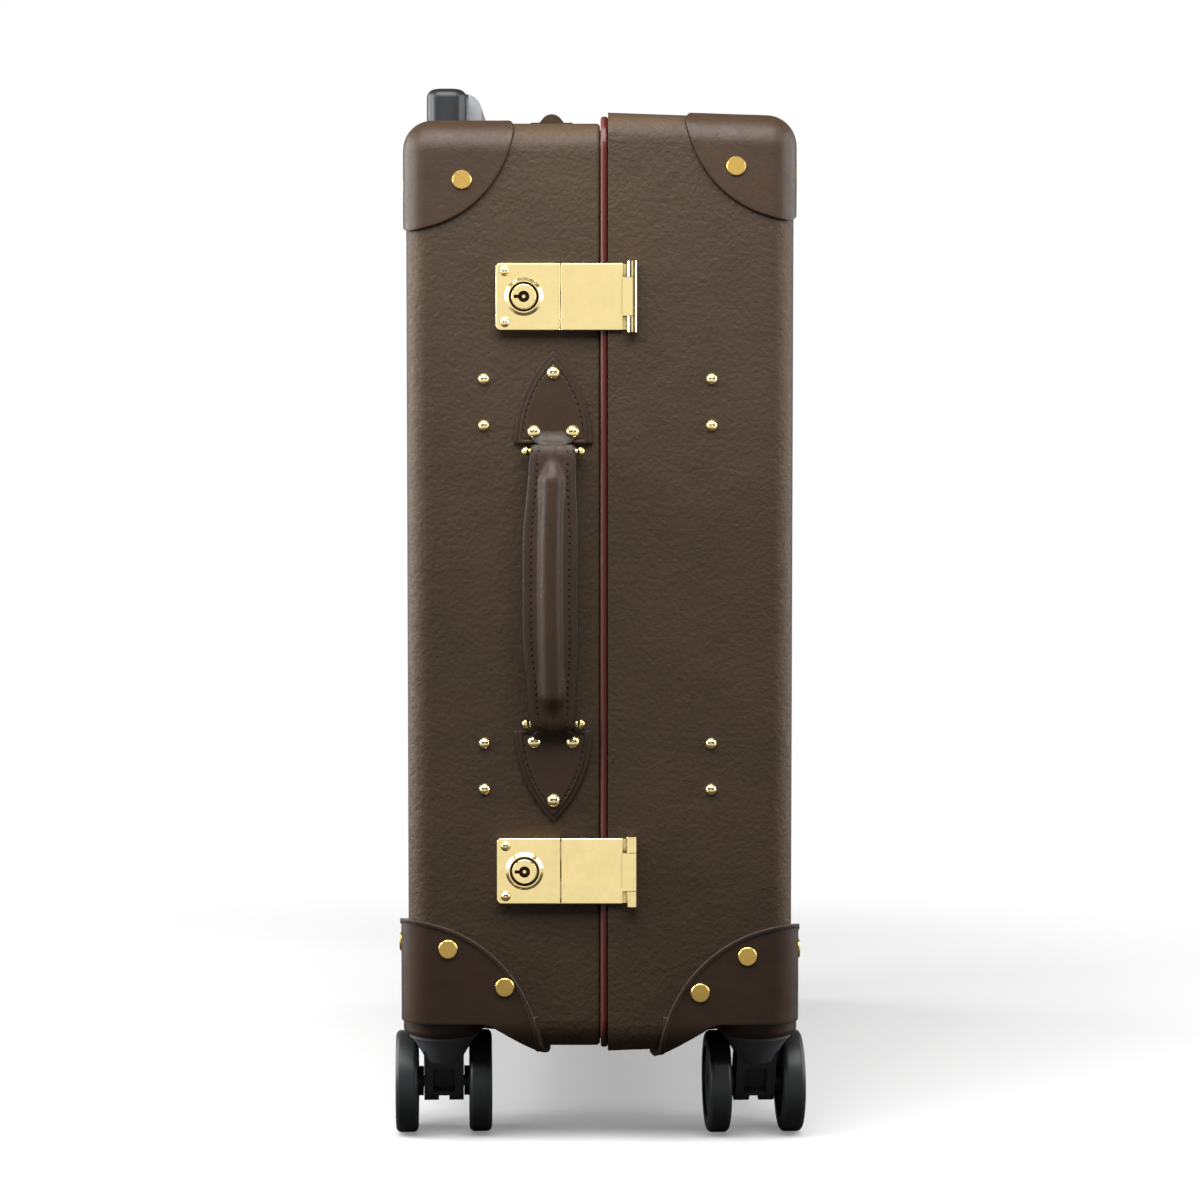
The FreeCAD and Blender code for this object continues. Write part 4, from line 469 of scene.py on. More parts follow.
def moulded(name, colour, roughness, texture_height_mm):
    """A satin moulded plastic with spark-eroded texture and slight flow marks."""
    material, tree, shader, place = blank_material(name)
    tone = patchy(tree, place, colour, 20, 2.0, 0.92, 1.08)
    spark = add(tree, "ShaderNodeTexNoise", {"Scale": per_mm(SPARK_TEXTURE), "Detail": 2.0},
                {"Vector": place})
    relief = add(tree, "ShaderNodeBump", {"Distance": texture_height_mm * MM},
                 {"Height": spark.outputs["Fac"]})
    matt = add(tree, "ShaderNodeMapRange", {"To Min": roughness - 0.06, "To Max": roughness + 0.06},
               {"Value": spark.outputs["Fac"]})
    wire(tree, shader, tone.outputs[0], matt.outputs[0], relief.outputs[0])
    shader.inputs["IOR"].default_value = 1.5
    shader.inputs["Specular IOR Level"].default_value = 0.3
    return material


glass_nylon = moulded("glass_filled_nylon", "#48494b", 0.5, 0.03)
tyre_urethane = moulded("polyurethane_tyre", "#252627", 0.42, 0.02)
charcoal_abs = moulded("charcoal_abs", "#2b2d30", 0.44, 0.02)
print("three plastics made")

# %% [markdown]
# ## Lining cloth
# The trays are lined with a plain-weave cotton glued over card. The eye reads a weave as two sets of threads
# crossing: threads run every half millimetre, drawn here at three to four so that they show. Cloth scatters
# light at its fuzzy surface, so the shader has sheen and no gloss to speak of.

# %% Make the cloth
THREAD_SPACING = 2.96
plain_cotton, tree, shader, place = blank_material("plain_weave_cotton")
warp = add(tree, "ShaderNodeTexWave",
           {"Scale": per_band(THREAD_SPACING), "bands_direction": "Z", "Distortion": 0.4}, {"Vector": place})
weft_place = add(tree, "ShaderNodeMapping", {"Rotation": (0, 0, math.radians(45))}, {"Vector": place})
weft = add(tree, "ShaderNodeTexWave",
           {"Scale": per_band(THREAD_SPACING), "bands_direction": "X", "Distortion": 0.4},
           {"Vector": weft_place.outputs[0]})
weave = add(tree, "ShaderNodeMath", {"operation": "MULTIPLY"},
            {0: warp.outputs["Fac"], 1: weft.outputs["Fac"]})
slub = add(tree, "ShaderNodeTexNoise", {"Scale": per_mm(11), "Detail": 4.0}, {"Vector": place})
thread_tone = add(tree, "ShaderNodeMath", {"operation": "MULTIPLY_ADD", 1: 0.5},
                  {0: weave.outputs[0], 2: slub.outputs["Fac"]})
cloth = add(tree, "ShaderNodeMix", {"data_type": "RGBA", 6: linear("#94826c"), 7: linear("#b8a78e")},
            {0: thread_tone.outputs[0]})
knots = add(tree, "ShaderNodeBump", {"Distance": 0.15 * MM}, {"Height": weave.outputs[0]})
tree.links.new(cloth.outputs[2], shader.inputs["Base Color"])
tree.links.new(knots.outputs[0], shader.inputs["Normal"])
shader.inputs["Roughness"].default_value = 0.85
shader.inputs["Specular IOR Level"].default_value = 0.2
shader.inputs["Sheen Weight"].default_value = 0.3
print("lining cloth made")

# %% [markdown]
# ## Two-tone trolley grip
# The grip is one charcoal moulding whose palm side is overmoulded with a pale soft-touch rubber. It is one
# solid in the model, so the material decides by place: in front of a line across the grip it is rubber.

# %% Make the grip's finish
PALM_LINE, PALM_FADE = -75.2, 0.2
trolley_grip_finish, tree, shader, place = blank_material("abs_with_soft_palm")
axes = add(tree, "ShaderNodeSeparateXYZ", links={0: place})
palm = add(tree, "ShaderNodeMapRange",
           {"From Min": (PALM_LINE - PALM_FADE) * MM, "From Max": (PALM_LINE + PALM_FADE) * MM},
           {"Value": axes.outputs["X"]})
spark = add(tree, "ShaderNodeTexNoise", {"Scale": per_mm(SPARK_TEXTURE), "Detail": 2.0}, {"Vector": place})
flow = add(tree, "ShaderNodeMix", {"data_type": "RGBA", 6: linear("#151719"), 7: linear("#1a1c1e")},
           {0: spark.outputs["Fac"]})
two_tone = add(tree, "ShaderNodeMix", {"data_type": "RGBA", 7: linear("#77787b")},
               {0: palm.outputs[0], 6: flow.outputs[2]})
matt = add(tree, "ShaderNodeMapRange", {"To Min": 0.36, "To Max": 0.6}, {"Value": palm.outputs[0]})
relief = add(tree, "ShaderNodeBump", {"Distance": 0.02 * MM}, {"Height": spark.outputs["Fac"]})
wire(tree, shader, two_tone.outputs[2], matt.outputs[0], relief.outputs[0])
shader.inputs["Specular IOR Level"].default_value = 0.3
print("trolley grip finish made")

# %% [markdown]
# ## Dress the rigid parts
# Every rigid part keeps its engineering shape and only changes its material. The table names each finish
# once, with the parts that have it, and a loop adds the parts of the four casters.

# %% Give each part its finish
FINISHES = {
    vulcanised_fibre: ["back_shell", "front_shell"],
    moulded_guard: ["back_base_guards", "front_base_guards", "back_caster_cups", "front_caster_cups"],
    burgundy_lacquer: ["rim_band"],
    gold_plate: ["upper_lock_case", "lower_lock_case", "upper_hasp", "lower_hasp", "hasp_leaves", "hasp_pins",
                 "handle_pins", "handle_rivets", "back_dome_rivets", "front_dome_rivets", "back_hinge_leaves",
                 "front_hinge_leaves", "back_strap_buckles", "front_strap_buckles"],
    barrel_plate: ["upper_key_barrel", "lower_key_barrel"],
    tumbled_brass: ["back_corner_rivets", "front_corner_rivets"],
    drawn_steel: ["case_hinge_pins", "upper_lock_bolt", "lower_lock_bolt"],
    anodised_tube: ["trolley_outer_tubes", "trolley_middle_tubes", "trolley_inner_tubes"],
    charcoal_abs: ["trolley_foot", "trolley_bezel", "trolley_button"],
    trolley_grip_finish: ["trolley_grip"],
}
for corner in ("back_lock", "back_hinge", "front_lock", "front_hinge"):
    FINISHES.setdefault(glass_nylon, []).append(f"{corner}_fork")
    FINISHES.setdefault(tyre_urethane, []).extend([f"{corner}_wheel_in", f"{corner}_wheel_out"])
    FINISHES[drawn_steel].append(f"{corner}_axle")
dressed = 0
for finish, names in FINISHES.items():
    for name in names:
        cad_nodes[name].data.materials.clear()
        cad_nodes[name].data.materials.append(finish)
        dressed += 1
print("finishes given to", dressed, "parts")

# %% [markdown]
# ## Making a soft piece
# Leather and cloth pieces are built as grids of points in millimetres, because a grid can follow a fold, a
# seam or a rounded corner. Small helpers turn a stack of rings into faces, put several meshes together, and
# hand the finished mesh to Blender with its material and the body that it rides on.


# %% Define the mesh helpers
def tube_faces(rings, around):
    """Quads between neighbouring rings of points, and a face that closes the first and the last ring."""
    faces = [(r * around + c, r * around + (c + 1) % around, (r + 1) * around + (c + 1) % around,
              (r + 1) * around + c) for r in range(rings - 1) for c in range(around)]
    return faces + [tuple(range(first, first + around)) for first in (0, (rings - 1) * around)]


def put_together(parts):
    """Several (points, faces, burnish) meshes as one."""
    points, faces, burnish = [], [], []
    for some_points, some_faces, some_burnish in parts:
        faces.extend(tuple(i + len(points) for i in face) for face in some_faces)
        points.extend(some_points)
        burnish.extend(some_burnish)
    return points, faces, burnish


def soft_piece(name, parts, material, body, place=Matrix.Identity(4)):
    """A Blender object from meshes in millimetres, smooth, facing outwards, riding on a body."""
    points, faces, burnish = put_together(parts)
    mesh = bpy.data.meshes.new(name)
    mesh.from_pydata([place @ (Vector(p) * MM) for p in points], [], faces)
    mesh.attributes.new("burnish", "FLOAT", "POINT").data.foreach_set("value", burnish)
    shape = bmesh.new()
    shape.from_mesh(mesh)
    bmesh.ops.recalc_face_normals(shape, faces=shape.faces)
    shape.to_mesh(mesh)
    shape.free()
    mesh.shade_smooth()
    mesh.materials.append(material)
    made = bpy.data.objects.new(name, mesh)
    scene.collection.objects.link(made)
    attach(made, body)
    print(name, len(mesh.vertices), "points")
    return made


# %% [markdown]
# ## The form of a tray
# Leather corners and linings hug the trays, so they need the trays' surface. A tray is four sides and a face
# with rolled edges: the distance from a point to such a form is easy to write down, and a point slides onto
# the surface by stepping along the slope of that distance. The front tray's sides lean in by its draft.

# %% Describe the trays
LEATHER = 1.6
TRAYS = {
    "back": {"sense": -1, "seam": 0.0, "depth": 102.4, "half": 197.0, "low": 52.3, "high": 543.0,
             "draft": 0.0},
    "front": {"sense": 1, "seam": 4.2, "depth": 98.0, "half": 200.0, "low": 49.9, "high": 548.4,
              "draft": 1.8},
}
CORNER_ROLL, FACE_ROLL = 16.0, 14.0


def rolled(first, second, radius):
    """Distance to two walls whose meeting edge is rolled to a radius."""
    a, b = first + radius, second + radius
    return np.minimum(np.maximum(a, b), 0) + np.hypot(np.maximum(a, 0), np.maximum(b, 0)) - radius


def tray_distance(points, side):
    """Distance in mm from the outside of a tray, below zero inside it."""
    tray = TRAYS[side]
    x, y, z = points.T
    depth = tray["sense"] * x - tray["seam"]
    lean = depth * math.tan(math.radians(tray["draft"]))
    flank = np.abs(y) - (tray["half"] - lean)
    ends = np.maximum(z - (tray["high"] - lean), (tray["low"] + lean) - z)
    return rolled(rolled(flank, ends, CORNER_ROLL), depth - tray["depth"], FACE_ROLL)


def settle(points, distance, level, steps=8):
    """Slides points along the slope of a distance until they lie at a level of it."""
    points = np.array(points, float)
    nudge = 0.05
    for _ in range(steps):
        here = distance(points)
        slope = np.stack([distance(points + nudge * axis) - here for axis in np.eye(3)], axis=1) / nudge
        slope /= np.maximum(np.linalg.norm(slope, axis=1, keepdims=True), 1e-6)
        points -= (here - level)[:, None] * slope
    return points


print("trays described:", ", ".join(TRAYS))

# %% [markdown]
# ## Leather corners
# Each top corner is one piece of wet leather pressed over the tray, trimmed to a quarter round and riveted.
# It could be cut from the solid model, but that has knife edges. Here rings of points spread from the
# corner's tip over its three faces, slide onto the tray at the leather's thickness, and roll over at the
# trimmed edge. A little unevenness, a tenth of a millimetre or so, lets highlights wander as leather's do.

# %% Press the corners
CORNER_REACH = 59.0
EDGE_ROUND, UNDERSIDE = 0.9, 0.05
FAN = 34
SWELL_WIDTH, SWELL_HEIGHT = 22, 0.14


def corner_skin(side, hand):
    """One leather corner of a tray, on the lock side for hand -1 or the hinge side for hand 1."""
    tray = TRAYS[side]
    tip = np.array([tray["sense"] * (tray["seam"] + tray["depth"] + LEATHER), hand * (tray["half"] + LEATHER),
                    tray["high"] + LEATHER])
    edges = [np.array([-tray["sense"], 0, 0]), np.array([0, -hand, 0]), np.array([0, 0, -1])]
    spokes = []
    for sector in range(3):
        for step in range(FAN):
            turn = math.radians(90 * step / FAN)
            spokes.append(math.cos(turn) * edges[sector] + math.sin(turn) * edges[(sector + 1) % 3])
    roll = [math.radians(a) for a in (0, 22.5, 45, 67.5, 90)]
    rings = [(reach, LEATHER, 0.0) for reach in np.linspace(1.5, CORNER_REACH - 2.5 * EDGE_ROUND, 32)]
    rings += [(CORNER_REACH - EDGE_ROUND * (1 - math.sin(a)), LEATHER - EDGE_ROUND * (1 - math.cos(a)),
               math.sin(a) ** 2) for a in roll]
    rings += [(CORNER_REACH, UNDERSIDE, 1.0)]
    rings += [(reach, UNDERSIDE, 0.0) for reach in np.linspace(CORNER_REACH - 3, 1.5, 9)]
    points, burnish = [], []
    for reach, level, edge in rings:
        ring = settle([tip + reach * spoke for spoke in spokes], lambda p: tray_distance(p, side), level)
        if level > 1:
            swell = np.array([noise.noise(Vector(p) / SWELL_WIDTH) for p in ring])
            ring = settle(ring, lambda p: tray_distance(p, side), level + SWELL_HEIGHT * swell, 2)
        points.extend(ring)
        burnish.extend([edge] * len(spokes))
    return points, tube_faces(len(rings), len(spokes)), burnish


for side in TRAYS:
    corners = [corner_skin(side, hand) for hand in (-1, 1)]
    leather = soft_piece(f"{side}_corner_leather", corners, corner_leather, f"{side}_case")
    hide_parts(f"{side}_top_corners")

# %% [markdown]
# ## Stitches
# A sewn seam is a row of short beads of thread that dive into their holes, with the leather drawn down along
# them. A texture could hint at that, but the dark dashes are the first thing seen on these handles,
# so each stitch is real: five rings of six points, placed by where the seam runs.

# %% Define a stitch
STITCH_PITCH, STITCH_LENGTH, STITCH_THICK = 3.4, 2.0, 1.2
STITCH_DIVE, STITCH_FLAT, STITCH_PROBE = 0.35, 0.7, 0.3


def stitch(middle, along, out):
    """One stitch in millimetres, lying along a seam and standing a little out of the leather."""
    along, out = np.array(along) / np.linalg.norm(along), np.array(out) / np.linalg.norm(out)
    across = np.cross(out, along)
    points = []
    for share, swell in ((-1.0, 0.4), (-0.7, 0.9), (0.0, 1.0), (0.7, 0.9), (1.0, 0.4)):
        centre = np.array(middle) + along * share * STITCH_LENGTH / 2 - out * STITCH_DIVE * share ** 4
        for k in range(6):
            turn = math.radians(60 * k)
            around = math.cos(turn) * across + STITCH_FLAT * math.sin(turn) * out
            points.append(centre + swell * STITCH_THICK / 2 * around)
    return points, tube_faces(5, 6), [0.0] * len(points)


def seam(path, out_of):
    """Stitches at an even pitch along a path of points; out_of gives the outward direction at a point."""
    path = np.array(path, float)
    lengths = np.concatenate([[0], np.cumsum(np.linalg.norm(np.diff(path, axis=0), axis=1))])
    count = max(1, int(lengths[-1] / STITCH_PITCH))
    marks = (np.arange(count) + 0.5) * lengths[-1] / count
    spots = np.stack([np.interp(marks, lengths, path[:, i]) for i in range(3)], axis=1)
    ahead = np.stack([np.interp(marks + STITCH_PROBE, lengths, path[:, i]) for i in range(3)], axis=1)
    behind = np.stack([np.interp(marks - STITCH_PROBE, lengths, path[:, i]) for i in range(3)], axis=1)
    return [stitch(spot, b - a, out_of(spot)) for spot, a, b in zip(spots, behind, ahead)]


# %% [markdown]
# ## Handle chapes
# A chape is the pointed leather that holds the end of a handle: a lower layer, a smaller upper layer sewn on
# top, and a tab that runs over the handle's pin. Each layer is a stack of ever smaller pointed arches, like
# contour lines: they round the cut edge, dip at the seam and swell in the middle. Both layers end at one base
# line. The tab is a strip that rises out of the upper layer and follows the pin round. Both handles use one
# pattern, built about the handle's middle.

# %% Cut the chapes
SIDE_HANDLE = Matrix.Translation(Vector((-24.5, -197.0, 298.8)) * MM)
TOP_HANDLE = Matrix.Translation(Vector((-27.0, 0.0, 543.0)) * MM) @ Matrix.Rotation(math.radians(-90), 4, "X")
PIN_HALF, PIN_LEVEL = 71.5, 6.4
CHAPE_BASE, CHAPE_HALF, CHAPE_LENGTH = 75.6, 20.5, 48.5
LOWER_LAYER, UPPER_LAYER, LAYER_STEP = 1.8, 1.5, 2.5
SEAM_INSET, SEAM_DIP, SEAM_SUNK, EDGE_ROLL = 2.1, 0.42, 0.3, 0.6
POINT_SHRINK, TAB_BEND, TAB_THICK = 1.39, 2.35, 1.5
ARCH_STEPS, BASE_STEPS = 26, 12


def arch_ring(inset, base_inset, out, end):
    """A pointed arch drawn in at its sides and its base, as a ring of points at a height over the fibre."""
    half, length = CHAPE_HALF - inset, CHAPE_LENGTH - POINT_SHRINK * inset - base_inset
    radius = (half ** 2 + length ** 2) / (2 * half)
    centre = radius - half
    swing = math.acos(centre / radius)
    right = [(radius * math.cos(a) - centre, radius * math.sin(a)) for a in np.linspace(0, swing, ARCH_STEPS)]
    left = [(-x, z) for x, z in reversed(right[:-1])]
    base = [(x, 0.0) for x in np.linspace(-half, half, BASE_STEPS)[1:-1]]
    return [(x, -out, end * (CHAPE_BASE + base_inset + z)) for x, z in right + left + base]


def leather_arch(inset, floor, thick, sewn, end):
    """One layer of a chape: rounded cut edge, a dip along the seam and a slight crown."""
    rows = [(0, floor + 0.02, 1.0), (0, floor + thick - EDGE_ROLL, 1.0)]
    for turn in (0.4, 0.8, 1.2, 1.57):
        drop = EDGE_ROLL * (1 - math.sin(turn))
        rows.append((EDGE_ROLL * (1 - math.cos(turn)), floor + thick - drop, 1 - math.sin(turn) * 0.7))
    for step in (1.0, 1.4, 1.75, SEAM_INSET, 2.45, 2.8, 3.3, 4.5, 6.5, 9, 11.5, 14, 16):
        dip = SEAM_DIP * math.exp(-((step - SEAM_INSET) / 0.5) ** 2) if sewn else 0.0
        rows.append((step, floor + thick - dip + 0.02 * step, 0.35 * dip))
    points, burnish = [], []
    for step, out, edge in rows:
        ring = arch_ring(inset + step, step, out, end)
        points.extend(ring)
        burnish.extend([edge] * len(ring))
    return points, tube_faces(len(rows), len(ring)), burnish


def strip(path, half_widths, thick, across):
    """A flat strip with rounded edges along a path; across is its width direction."""
    path = np.array(path, float)
    across = np.array(across, float)
    points, burnish = [], []
    for i, centre in enumerate(path):
        along = path[min(i + 1, len(path) - 1)] - path[max(i - 1, 0)]
        out = np.cross(across, along / np.linalg.norm(along))
        half = half_widths[i]
        for share, rise in ((-1, 0.5), (-1, 0.0), (-1, -0.5), (-0.4, -0.5), (0.4, -0.5),
                            (1, -0.5), (1, 0.0), (1, 0.5), (0.4, 0.5), (-0.4, 0.5)):
            bulge = half + (0.4 * thick if rise == 0 else 0) if abs(share) == 1 else half * abs(share)
            points.append(centre + math.copysign(bulge, share) * across + rise * thick * out)
            burnish.append(1.0 if abs(share) == 1 else 0.0)
    return points, tube_faces(len(path), 10), burnish


def chape_tab(end):
    """The tab that runs from the upper layer over the pin and back under the layer."""
    turn = [math.radians(a) for a in range(50, 301, 25)]
    path = [(14, 2.3), (10.5, 2.7), (8, 3.5), (6, 4.5), (4.6, 5.7), (3.2, 7.4)]
    path += [(TAB_BEND * math.cos(a), PIN_LEVEL + TAB_BEND * math.sin(a)) for a in turn]
    path += [(4.0, 3.4), (7, 2.4), (10, 2.0)]
    widths = [10.2, 11, 11, 10.6, 9.4, 6.4] + [5.8] * (len(path) - 6)
    return strip([(0, -out, end * (PIN_HALF + z)) for z, out in path], widths, TAB_THICK, (1, 0, 0))


def chape_seam(end):
    """Both rows of stitches of a chape, meeting near its point."""
    ring = arch_ring(LAYER_STEP + SEAM_INSET, SEAM_INSET, LOWER_LAYER + UPPER_LAYER - SEAM_SUNK, end)
    runs = [ring[2:ARCH_STEPS - 1], ring[ARCH_STEPS:2 * ARCH_STEPS - 3]]
    return [bead for run in runs for bead in seam(run, lambda spot: (0, -1, 0))]


for name, place in (("side", SIDE_HANDLE), ("top", TOP_HANDLE)):
    layers, threads = [], []
    for end in (1, -1):
        layers.append(leather_arch(0, 0.0, LOWER_LAYER, False, end))
        layers.append(leather_arch(LAYER_STEP, LOWER_LAYER, UPPER_LAYER, True, end))
        layers.append(chape_tab(end))
        threads.extend(chape_seam(end))
    chapes = soft_piece(f"{name}_chape_leather", layers, handle_leather, "back_case", place)
    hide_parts("handle_chapes")
    soft_piece(f"{name}_chape_thread", threads, waxed_linen, "back_case", place)

# %% [markdown]
# ## Handle grips
# The grip is a rope core wrapped in leather, with both edges sewn flat into flanges and each end folded round
# its pin. Its section changes along its length, so it is a loft: at each place a width, a roll and a
# thickness give a closed outline. Next to the seam the leather is drawn down. Two loops at each end go
# round the pin on either side of the chape's tab.

# %% Sew the grips
GRIP_END, GRIP_CROWN, GRIP_SAG, GRIP_BOW = 75.0, 16.0, 4.6, 1.5
GRIP_HALF, GRIP_ROLL, ROLL_LOSS = 14.6, 6.5, 4.6
GRIP_SEAM, SEWN_REACH, SEAM_LIFT = 4.6, 67, 0.12
FLANGE_HALF, GRIP_FILLET = 1.5, 3.0
LOOP_LOW, LOOP_HIGH, LOOP_BEND, LOOP_BURNISH = 3.6, 9.6, 2.35, 0.3


def ease(value, start, stop):
    """0 before start, 1 after stop, smooth between."""
    share = min(1.0, max(0.0, (value - start) / (stop - start)))
    return share * share * (3 - 2 * share)


def grip_section(z):
    """Middle height, sideways bow, half width, roll radius and half thickness of the grip at a place."""
    far = abs(z)
    middle = GRIP_CROWN - GRIP_SAG * (z / PIN_HALF) ** 2 - ease(far, 68, GRIP_END) ** 2
    bow = -GRIP_BOW * math.cos(math.pi * z / (2 * GRIP_END))
    half = GRIP_HALF - 2.0 * ease(far, 25, 64) - 0.9 * ease(far, 64, 73)
    roll = GRIP_ROLL - ROLL_LOSS * ease(far, 56, 69)
    nose = max(0.0, (far - (GRIP_END - 2)) / 2)
    return middle, bow, half - 1.2 * nose ** 2, roll, FLANGE_HALF * math.sqrt(max(0.02, 1 - nose ** 2))


def grip_rise(x, half, roll, edge):
    """Half height of the grip's section at a distance from its middle line."""
    far = abs(x)
    flange = edge * math.sqrt(max(0.0, 1 - (max(0.0, far - (half - edge)) / edge) ** 2))
    core = math.sqrt(max(0.0, roll ** 2 - x ** 2))
    blend = max(GRIP_FILLET - abs(flange - core), 0) / GRIP_FILLET
    drawn_in = 0.45 * math.exp(-((far - (half - GRIP_SEAM)) / 0.8) ** 2)
    return max(flange, core) + GRIP_FILLET / 4 * blend ** 2 * (far < half - edge) - drawn_in


def grip_body():
    """The lofted roll and flanges of a grip."""
    stops = [(-75, -72, 7), (-72, -44, 20), (-44, 44, 30), (44, 72, 20), (72, 75, 7)]
    places = np.unique(np.concatenate([np.linspace(*stop) for stop in stops]))
    turns = np.linspace(0, math.pi, 33)
    points, burnish = [], []
    for z in places:
        middle, bow, half, roll, edge = grip_section(z)
        for sense in (1, -1):
            for turn in turns[:-1]:
                x = -sense * half * math.cos(turn)
                points.append((x + bow, -(middle + sense * grip_rise(x, half, roll, edge)), z))
                burnish.append(ease(abs(x), half - 1.6, half - 0.4))
    return points, tube_faces(len(places), 2 * (len(turns) - 1)), burnish


def grip_loop(end, hand):
    """One loop of the grip round its pin: a strap bent into a long ring."""
    turns = np.linspace(0, math.pi, 9)
    sides = np.linspace(LOOP_LOW, LOOP_HIGH, 5)[1:-1]
    ring = [(LOOP_BEND * math.cos(a), LOOP_HIGH + LOOP_BEND * math.sin(a)) for a in turns]
    ring += [(-LOOP_BEND, out) for out in reversed(sides)]
    ring += [(-LOOP_BEND * math.cos(a), LOOP_LOW - LOOP_BEND * math.sin(a)) for a in turns]
    ring += [(LOOP_BEND, out) for out in sides]
    points = []
    for i, (z, out) in enumerate(ring):
        after, before = np.array(ring[(i + 1) % len(ring)]), np.array(ring[i - 1])
        along = (after - before) / np.linalg.norm(after - before)
        normal = np.array([along[1], -along[0]])
        for x, lift in ((6.7, 0.5), (7.1, 0.7), (11.2, 0.7), (11.6, 0.5),
                        (11.6, -0.5), (11.2, -0.7), (7.1, -0.7), (6.7, -0.5)):
            spot = np.array([z, out]) + lift * normal
            points.append((hand * x, -spot[1], end * (PIN_HALF + spot[0])))
    rows = len(ring)
    faces = [(r * 8 + c, r * 8 + (c + 1) % 8, (r + 1) % rows * 8 + (c + 1) % 8, (r + 1) % rows * 8 + c)
             for r in range(rows) for c in range(8)]
    return points, faces, [LOOP_BURNISH] * len(points)


def grip_seams():
    """Stitches along both flanges, on the outside and underneath."""
    beads = []
    for hand in (-1, 1):
        for sense in (1, -1):
            run = []
            for z in np.linspace(-SEWN_REACH, SEWN_REACH, 44):
                middle, bow, half, roll, edge = grip_section(z)
                x = hand * (half - GRIP_SEAM)
                rise = grip_rise(x, half, roll, edge) + SEAM_LIFT
                run.append((x + bow, -(middle + sense * rise), z))
            beads.extend(seam(run, lambda spot, way=sense: (0, -way, 0)))
    return beads


for name, place in (("side", SIDE_HANDLE), ("top", TOP_HANDLE)):
    loops = [grip_loop(end, hand) for end in (1, -1) for hand in (1, -1)]
    grip = soft_piece(f"{name}_grip_leather", [grip_body(), *loops], handle_leather, f"{name}_handle",
                      place)
    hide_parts(f"{name}_handle_grip")
    soft_piece(f"{name}_grip_thread", grip_seams(), waxed_linen, f"{name}_handle", place)

# %% [markdown]
# ## Linings
# Inside, cotton is drawn over the tray's sides, its floor and the humps of the wheel wells. One sheet of
# points starts as an open box and slides onto the room's surface, as the cloth was smoothed on by hand;
# where a hump meets a wall the sheet rounds the corner softly. Over a hump it stands a few millimetres off,
# as over a thin pad, so that the hump's rim never shows. A modifier then gives it its thickness.

# %% Hang the linings
BOARD, CLOTH, SOFT_FOLD = 3.0, 1.2, 6.0
WELLS = {"x": 84.3, "y": 172.0, "roof": 67.0, "slope": 105.0, "skin": 10.8}
LINED = {"back": {"rim": 12.0, "face": 77.0, "roll": 8.0, "flat": (0.518, 0.615), "area": 0.302},
         "front": {"rim": 0.4, "face": 95.0, "roll": 11.0, "flat": (0.578, 0.682), "area": 0.359}}


def room_distance(points, side):
    """Distance from the lined room of a tray: below zero in the room, above in walls and wheel wells."""
    tray, lined = TRAYS[side], LINED[side]
    x, y, z = points.T
    depth = tray["sense"] * x - tray["seam"]
    lean = depth * math.tan(math.radians(tray["draft"]))
    flank = np.abs(y) - (tray["half"] - lean - BOARD)
    ends = np.maximum(z - (tray["high"] - lean - BOARD), (tray["low"] + lean + BOARD) - z)
    walls = rolled(rolled(flank, ends, CORNER_ROLL - BOARD), depth - lined["face"], lined["roll"])
    off_axis = np.hypot(np.abs(x) - WELLS["x"], np.abs(y) - WELLS["y"])
    hump = WELLS["skin"] - np.maximum((off_axis + z - WELLS["slope"]) / math.sqrt(2), z - WELLS["roof"])
    blend = np.maximum(SOFT_FOLD - np.abs(walls - hump), 0) / SOFT_FOLD
    return np.maximum(walls, hump) + SOFT_FOLD / 4 * blend ** 2


def lining_sheet(side):
    """The lining of one tray as a sheet of points: the floor, then the four walls up to the rim."""
    tray, lined = TRAYS[side], LINED[side]
    across, up, rows = 60, 74, 22
    ys = np.linspace(-1, 1, across) * (tray["half"] - BOARD - 2)
    zs = np.linspace(tray["low"] + BOARD + 2, tray["high"] - BOARD - 2, up)
    place_of, points, faces = {}, [], []

    def spot(depth, y, z):
        key = (round(depth, 3), round(y, 3), round(z, 3))
        if key not in place_of:
            place_of[key] = len(points)
            points.append((tray["sense"] * (tray["seam"] + depth), y, z))
        return place_of[key]

    depths = np.linspace(lined["face"] - 1, lined["rim"], rows)
    for i in range(across - 1):
        for k in range(up - 1):
            corners = ((i, k), (i + 1, k), (i + 1, k + 1), (i, k + 1))
            faces.append([spot(depths[0], ys[a], zs[b]) for a, b in corners])
    edge = [(y, zs[0]) for y in ys] + [(ys[-1], z) for z in zs[1:]]
    edge += [(y, zs[-1]) for y in ys[-2::-1]] + [(ys[0], z) for z in zs[-2:0:-1]]
    for d in range(rows - 1):
        for i, (y, z) in enumerate(edge):
            after = edge[(i + 1) % len(edge)]
            faces.append([spot(depths[d], y, z), spot(depths[d], *after), spot(depths[d + 1], *after),
                          spot(depths[d + 1], y, z)])
    points = settle(points, lambda p: room_distance(p, side), -CLOTH / 2, 14)
    return points, faces, [0.0] * len(points)


for side, lined in LINED.items():
    lining = soft_piece(f"{side}_lining_cloth", [lining_sheet(side)], plain_cotton, f"{side}_case")
    body_of_cloth = lining.modifiers.new("thickness", "SOLIDIFY")
    body_of_cloth.thickness = CLOTH * MM
    body_of_cloth.offset = 0
    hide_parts(f"{side}_lining")

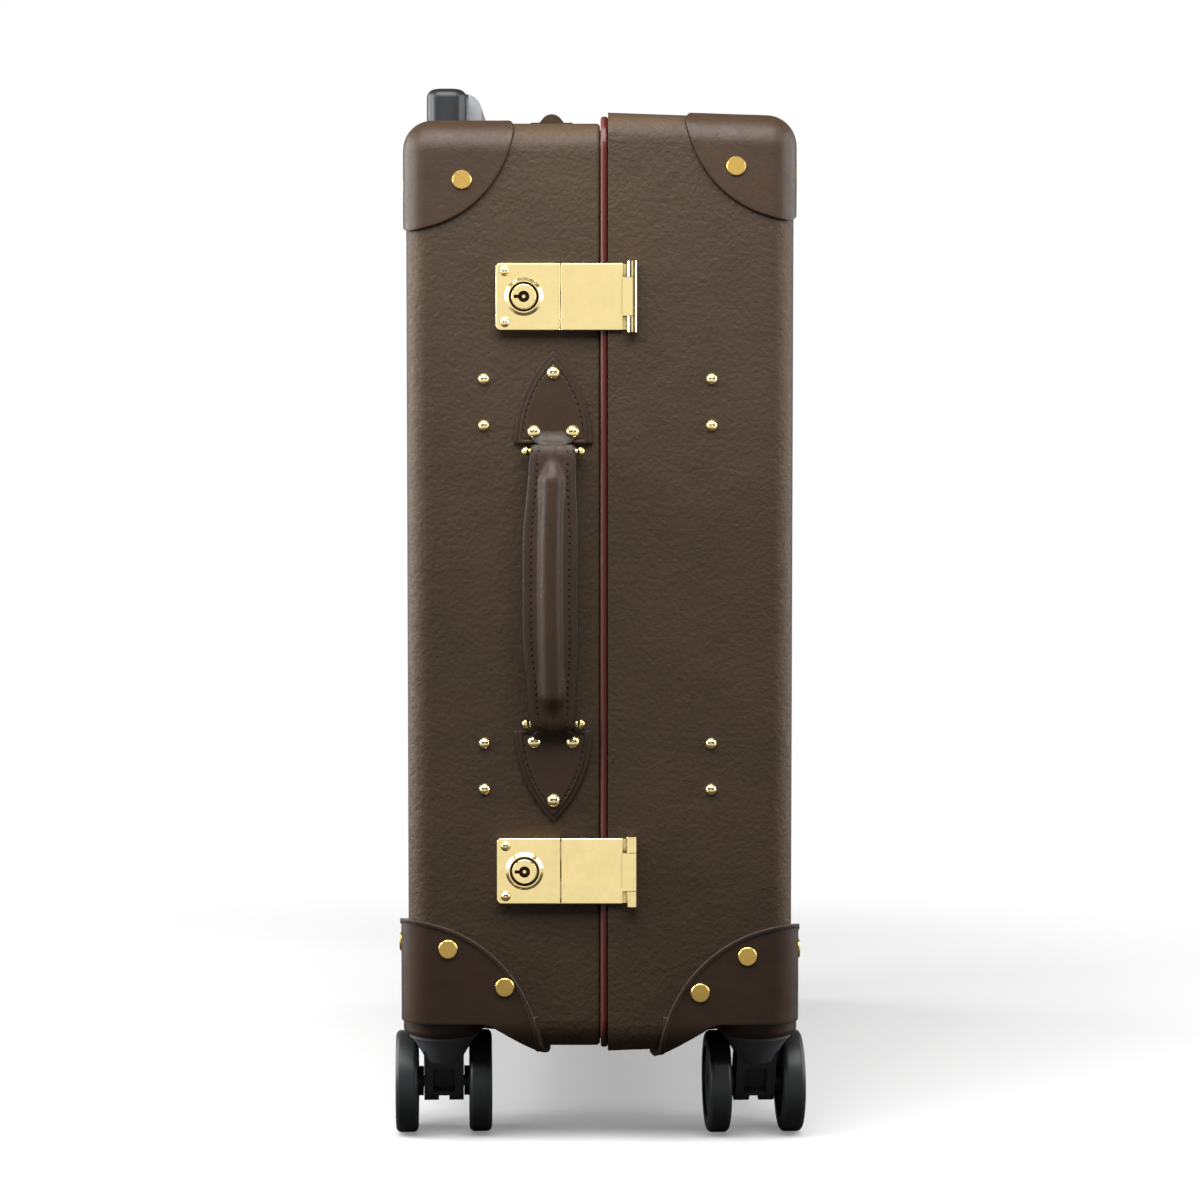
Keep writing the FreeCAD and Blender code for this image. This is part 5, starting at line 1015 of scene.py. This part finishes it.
# %% [markdown]
# ## Packing straps
# Two leather straps in each tray hold the clothes down. They lie along the lining from side to side, with
# a brass buckle in the middle of each, and are sewn along both edges. Each is a strip along a path: down
# one wall, round the corner, across the floor and up the other wall.

# %% Lay the straps
STRAP_HALF, STRAP_THICK, STRAP_SEAM = 19.0, 1.3, 3.0
STRAP_HEIGHTS, STRAP_TURN = (396.0, 204.0), 185
STRAP_PATHS = {"back": {"end": 42.0, "floor": 75.15, "wall": 192.15, "lean": 0.0, "roll": 6.15},
               "front": {"end": 42.0, "floor": 97.35, "wall": 195.15, "lean": 0.0314, "roll": 9.15}}


def strap_path(side, height, lift=0.0):
    """Points of a strap's middle line, raised from the lining by a little."""
    tray, way = TRAYS[side], STRAP_PATHS[side]
    floor, roll = way["floor"] - lift, way["roll"] - lift
    half = [(depth, way["wall"] - lift - way["lean"] * (depth - tray["seam"]))
            for depth in np.linspace(way["end"], floor - roll, 8)]
    foot = half[-1][1] - roll
    half += [(floor - roll + roll * math.sin(a), foot + roll * math.cos(a))
             for a in np.linspace(0.2, 1.57, 8)]
    half += [(floor, y) for y in np.linspace(foot, 0, 24)[1:]]
    whole = [(d, -y) for d, y in half] + [(d, y) for d, y in reversed(half[:-1])]
    return [(tray["sense"] * d, y, height) for d, y in whole]


def off_lining(spot, side):
    """The way a strap's stitch stands out: from the tray's floor, or from its wall near the sides."""
    if abs(spot[1]) < STRAP_TURN:
        return -TRAYS[side]["sense"], 0, 0
    return 0, -math.copysign(1, spot[1]), 0


for side in TRAYS:
    straps, threads = [], []
    for height in STRAP_HEIGHTS:
        path = strap_path(side, height)
        straps.append(strip(path, [STRAP_HALF] * len(path), STRAP_THICK, (0, 0, 1)))
        sewn_line = strap_path(side, height, STRAP_THICK / 2)
        for offset in (STRAP_SEAM - STRAP_HALF, STRAP_HALF - STRAP_SEAM):
            threads.extend(seam([(x, y, z + offset) for x, y, z in sewn_line],
                                lambda spot, way=side: off_lining(spot, way)))
    leather = soft_piece(f"{side}_strap_leather", straps, strap_leather, f"{side}_case")
    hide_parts(f"{side}_packing_straps")
    soft_piece(f"{side}_strap_thread", threads, waxed_linen, f"{side}_case")
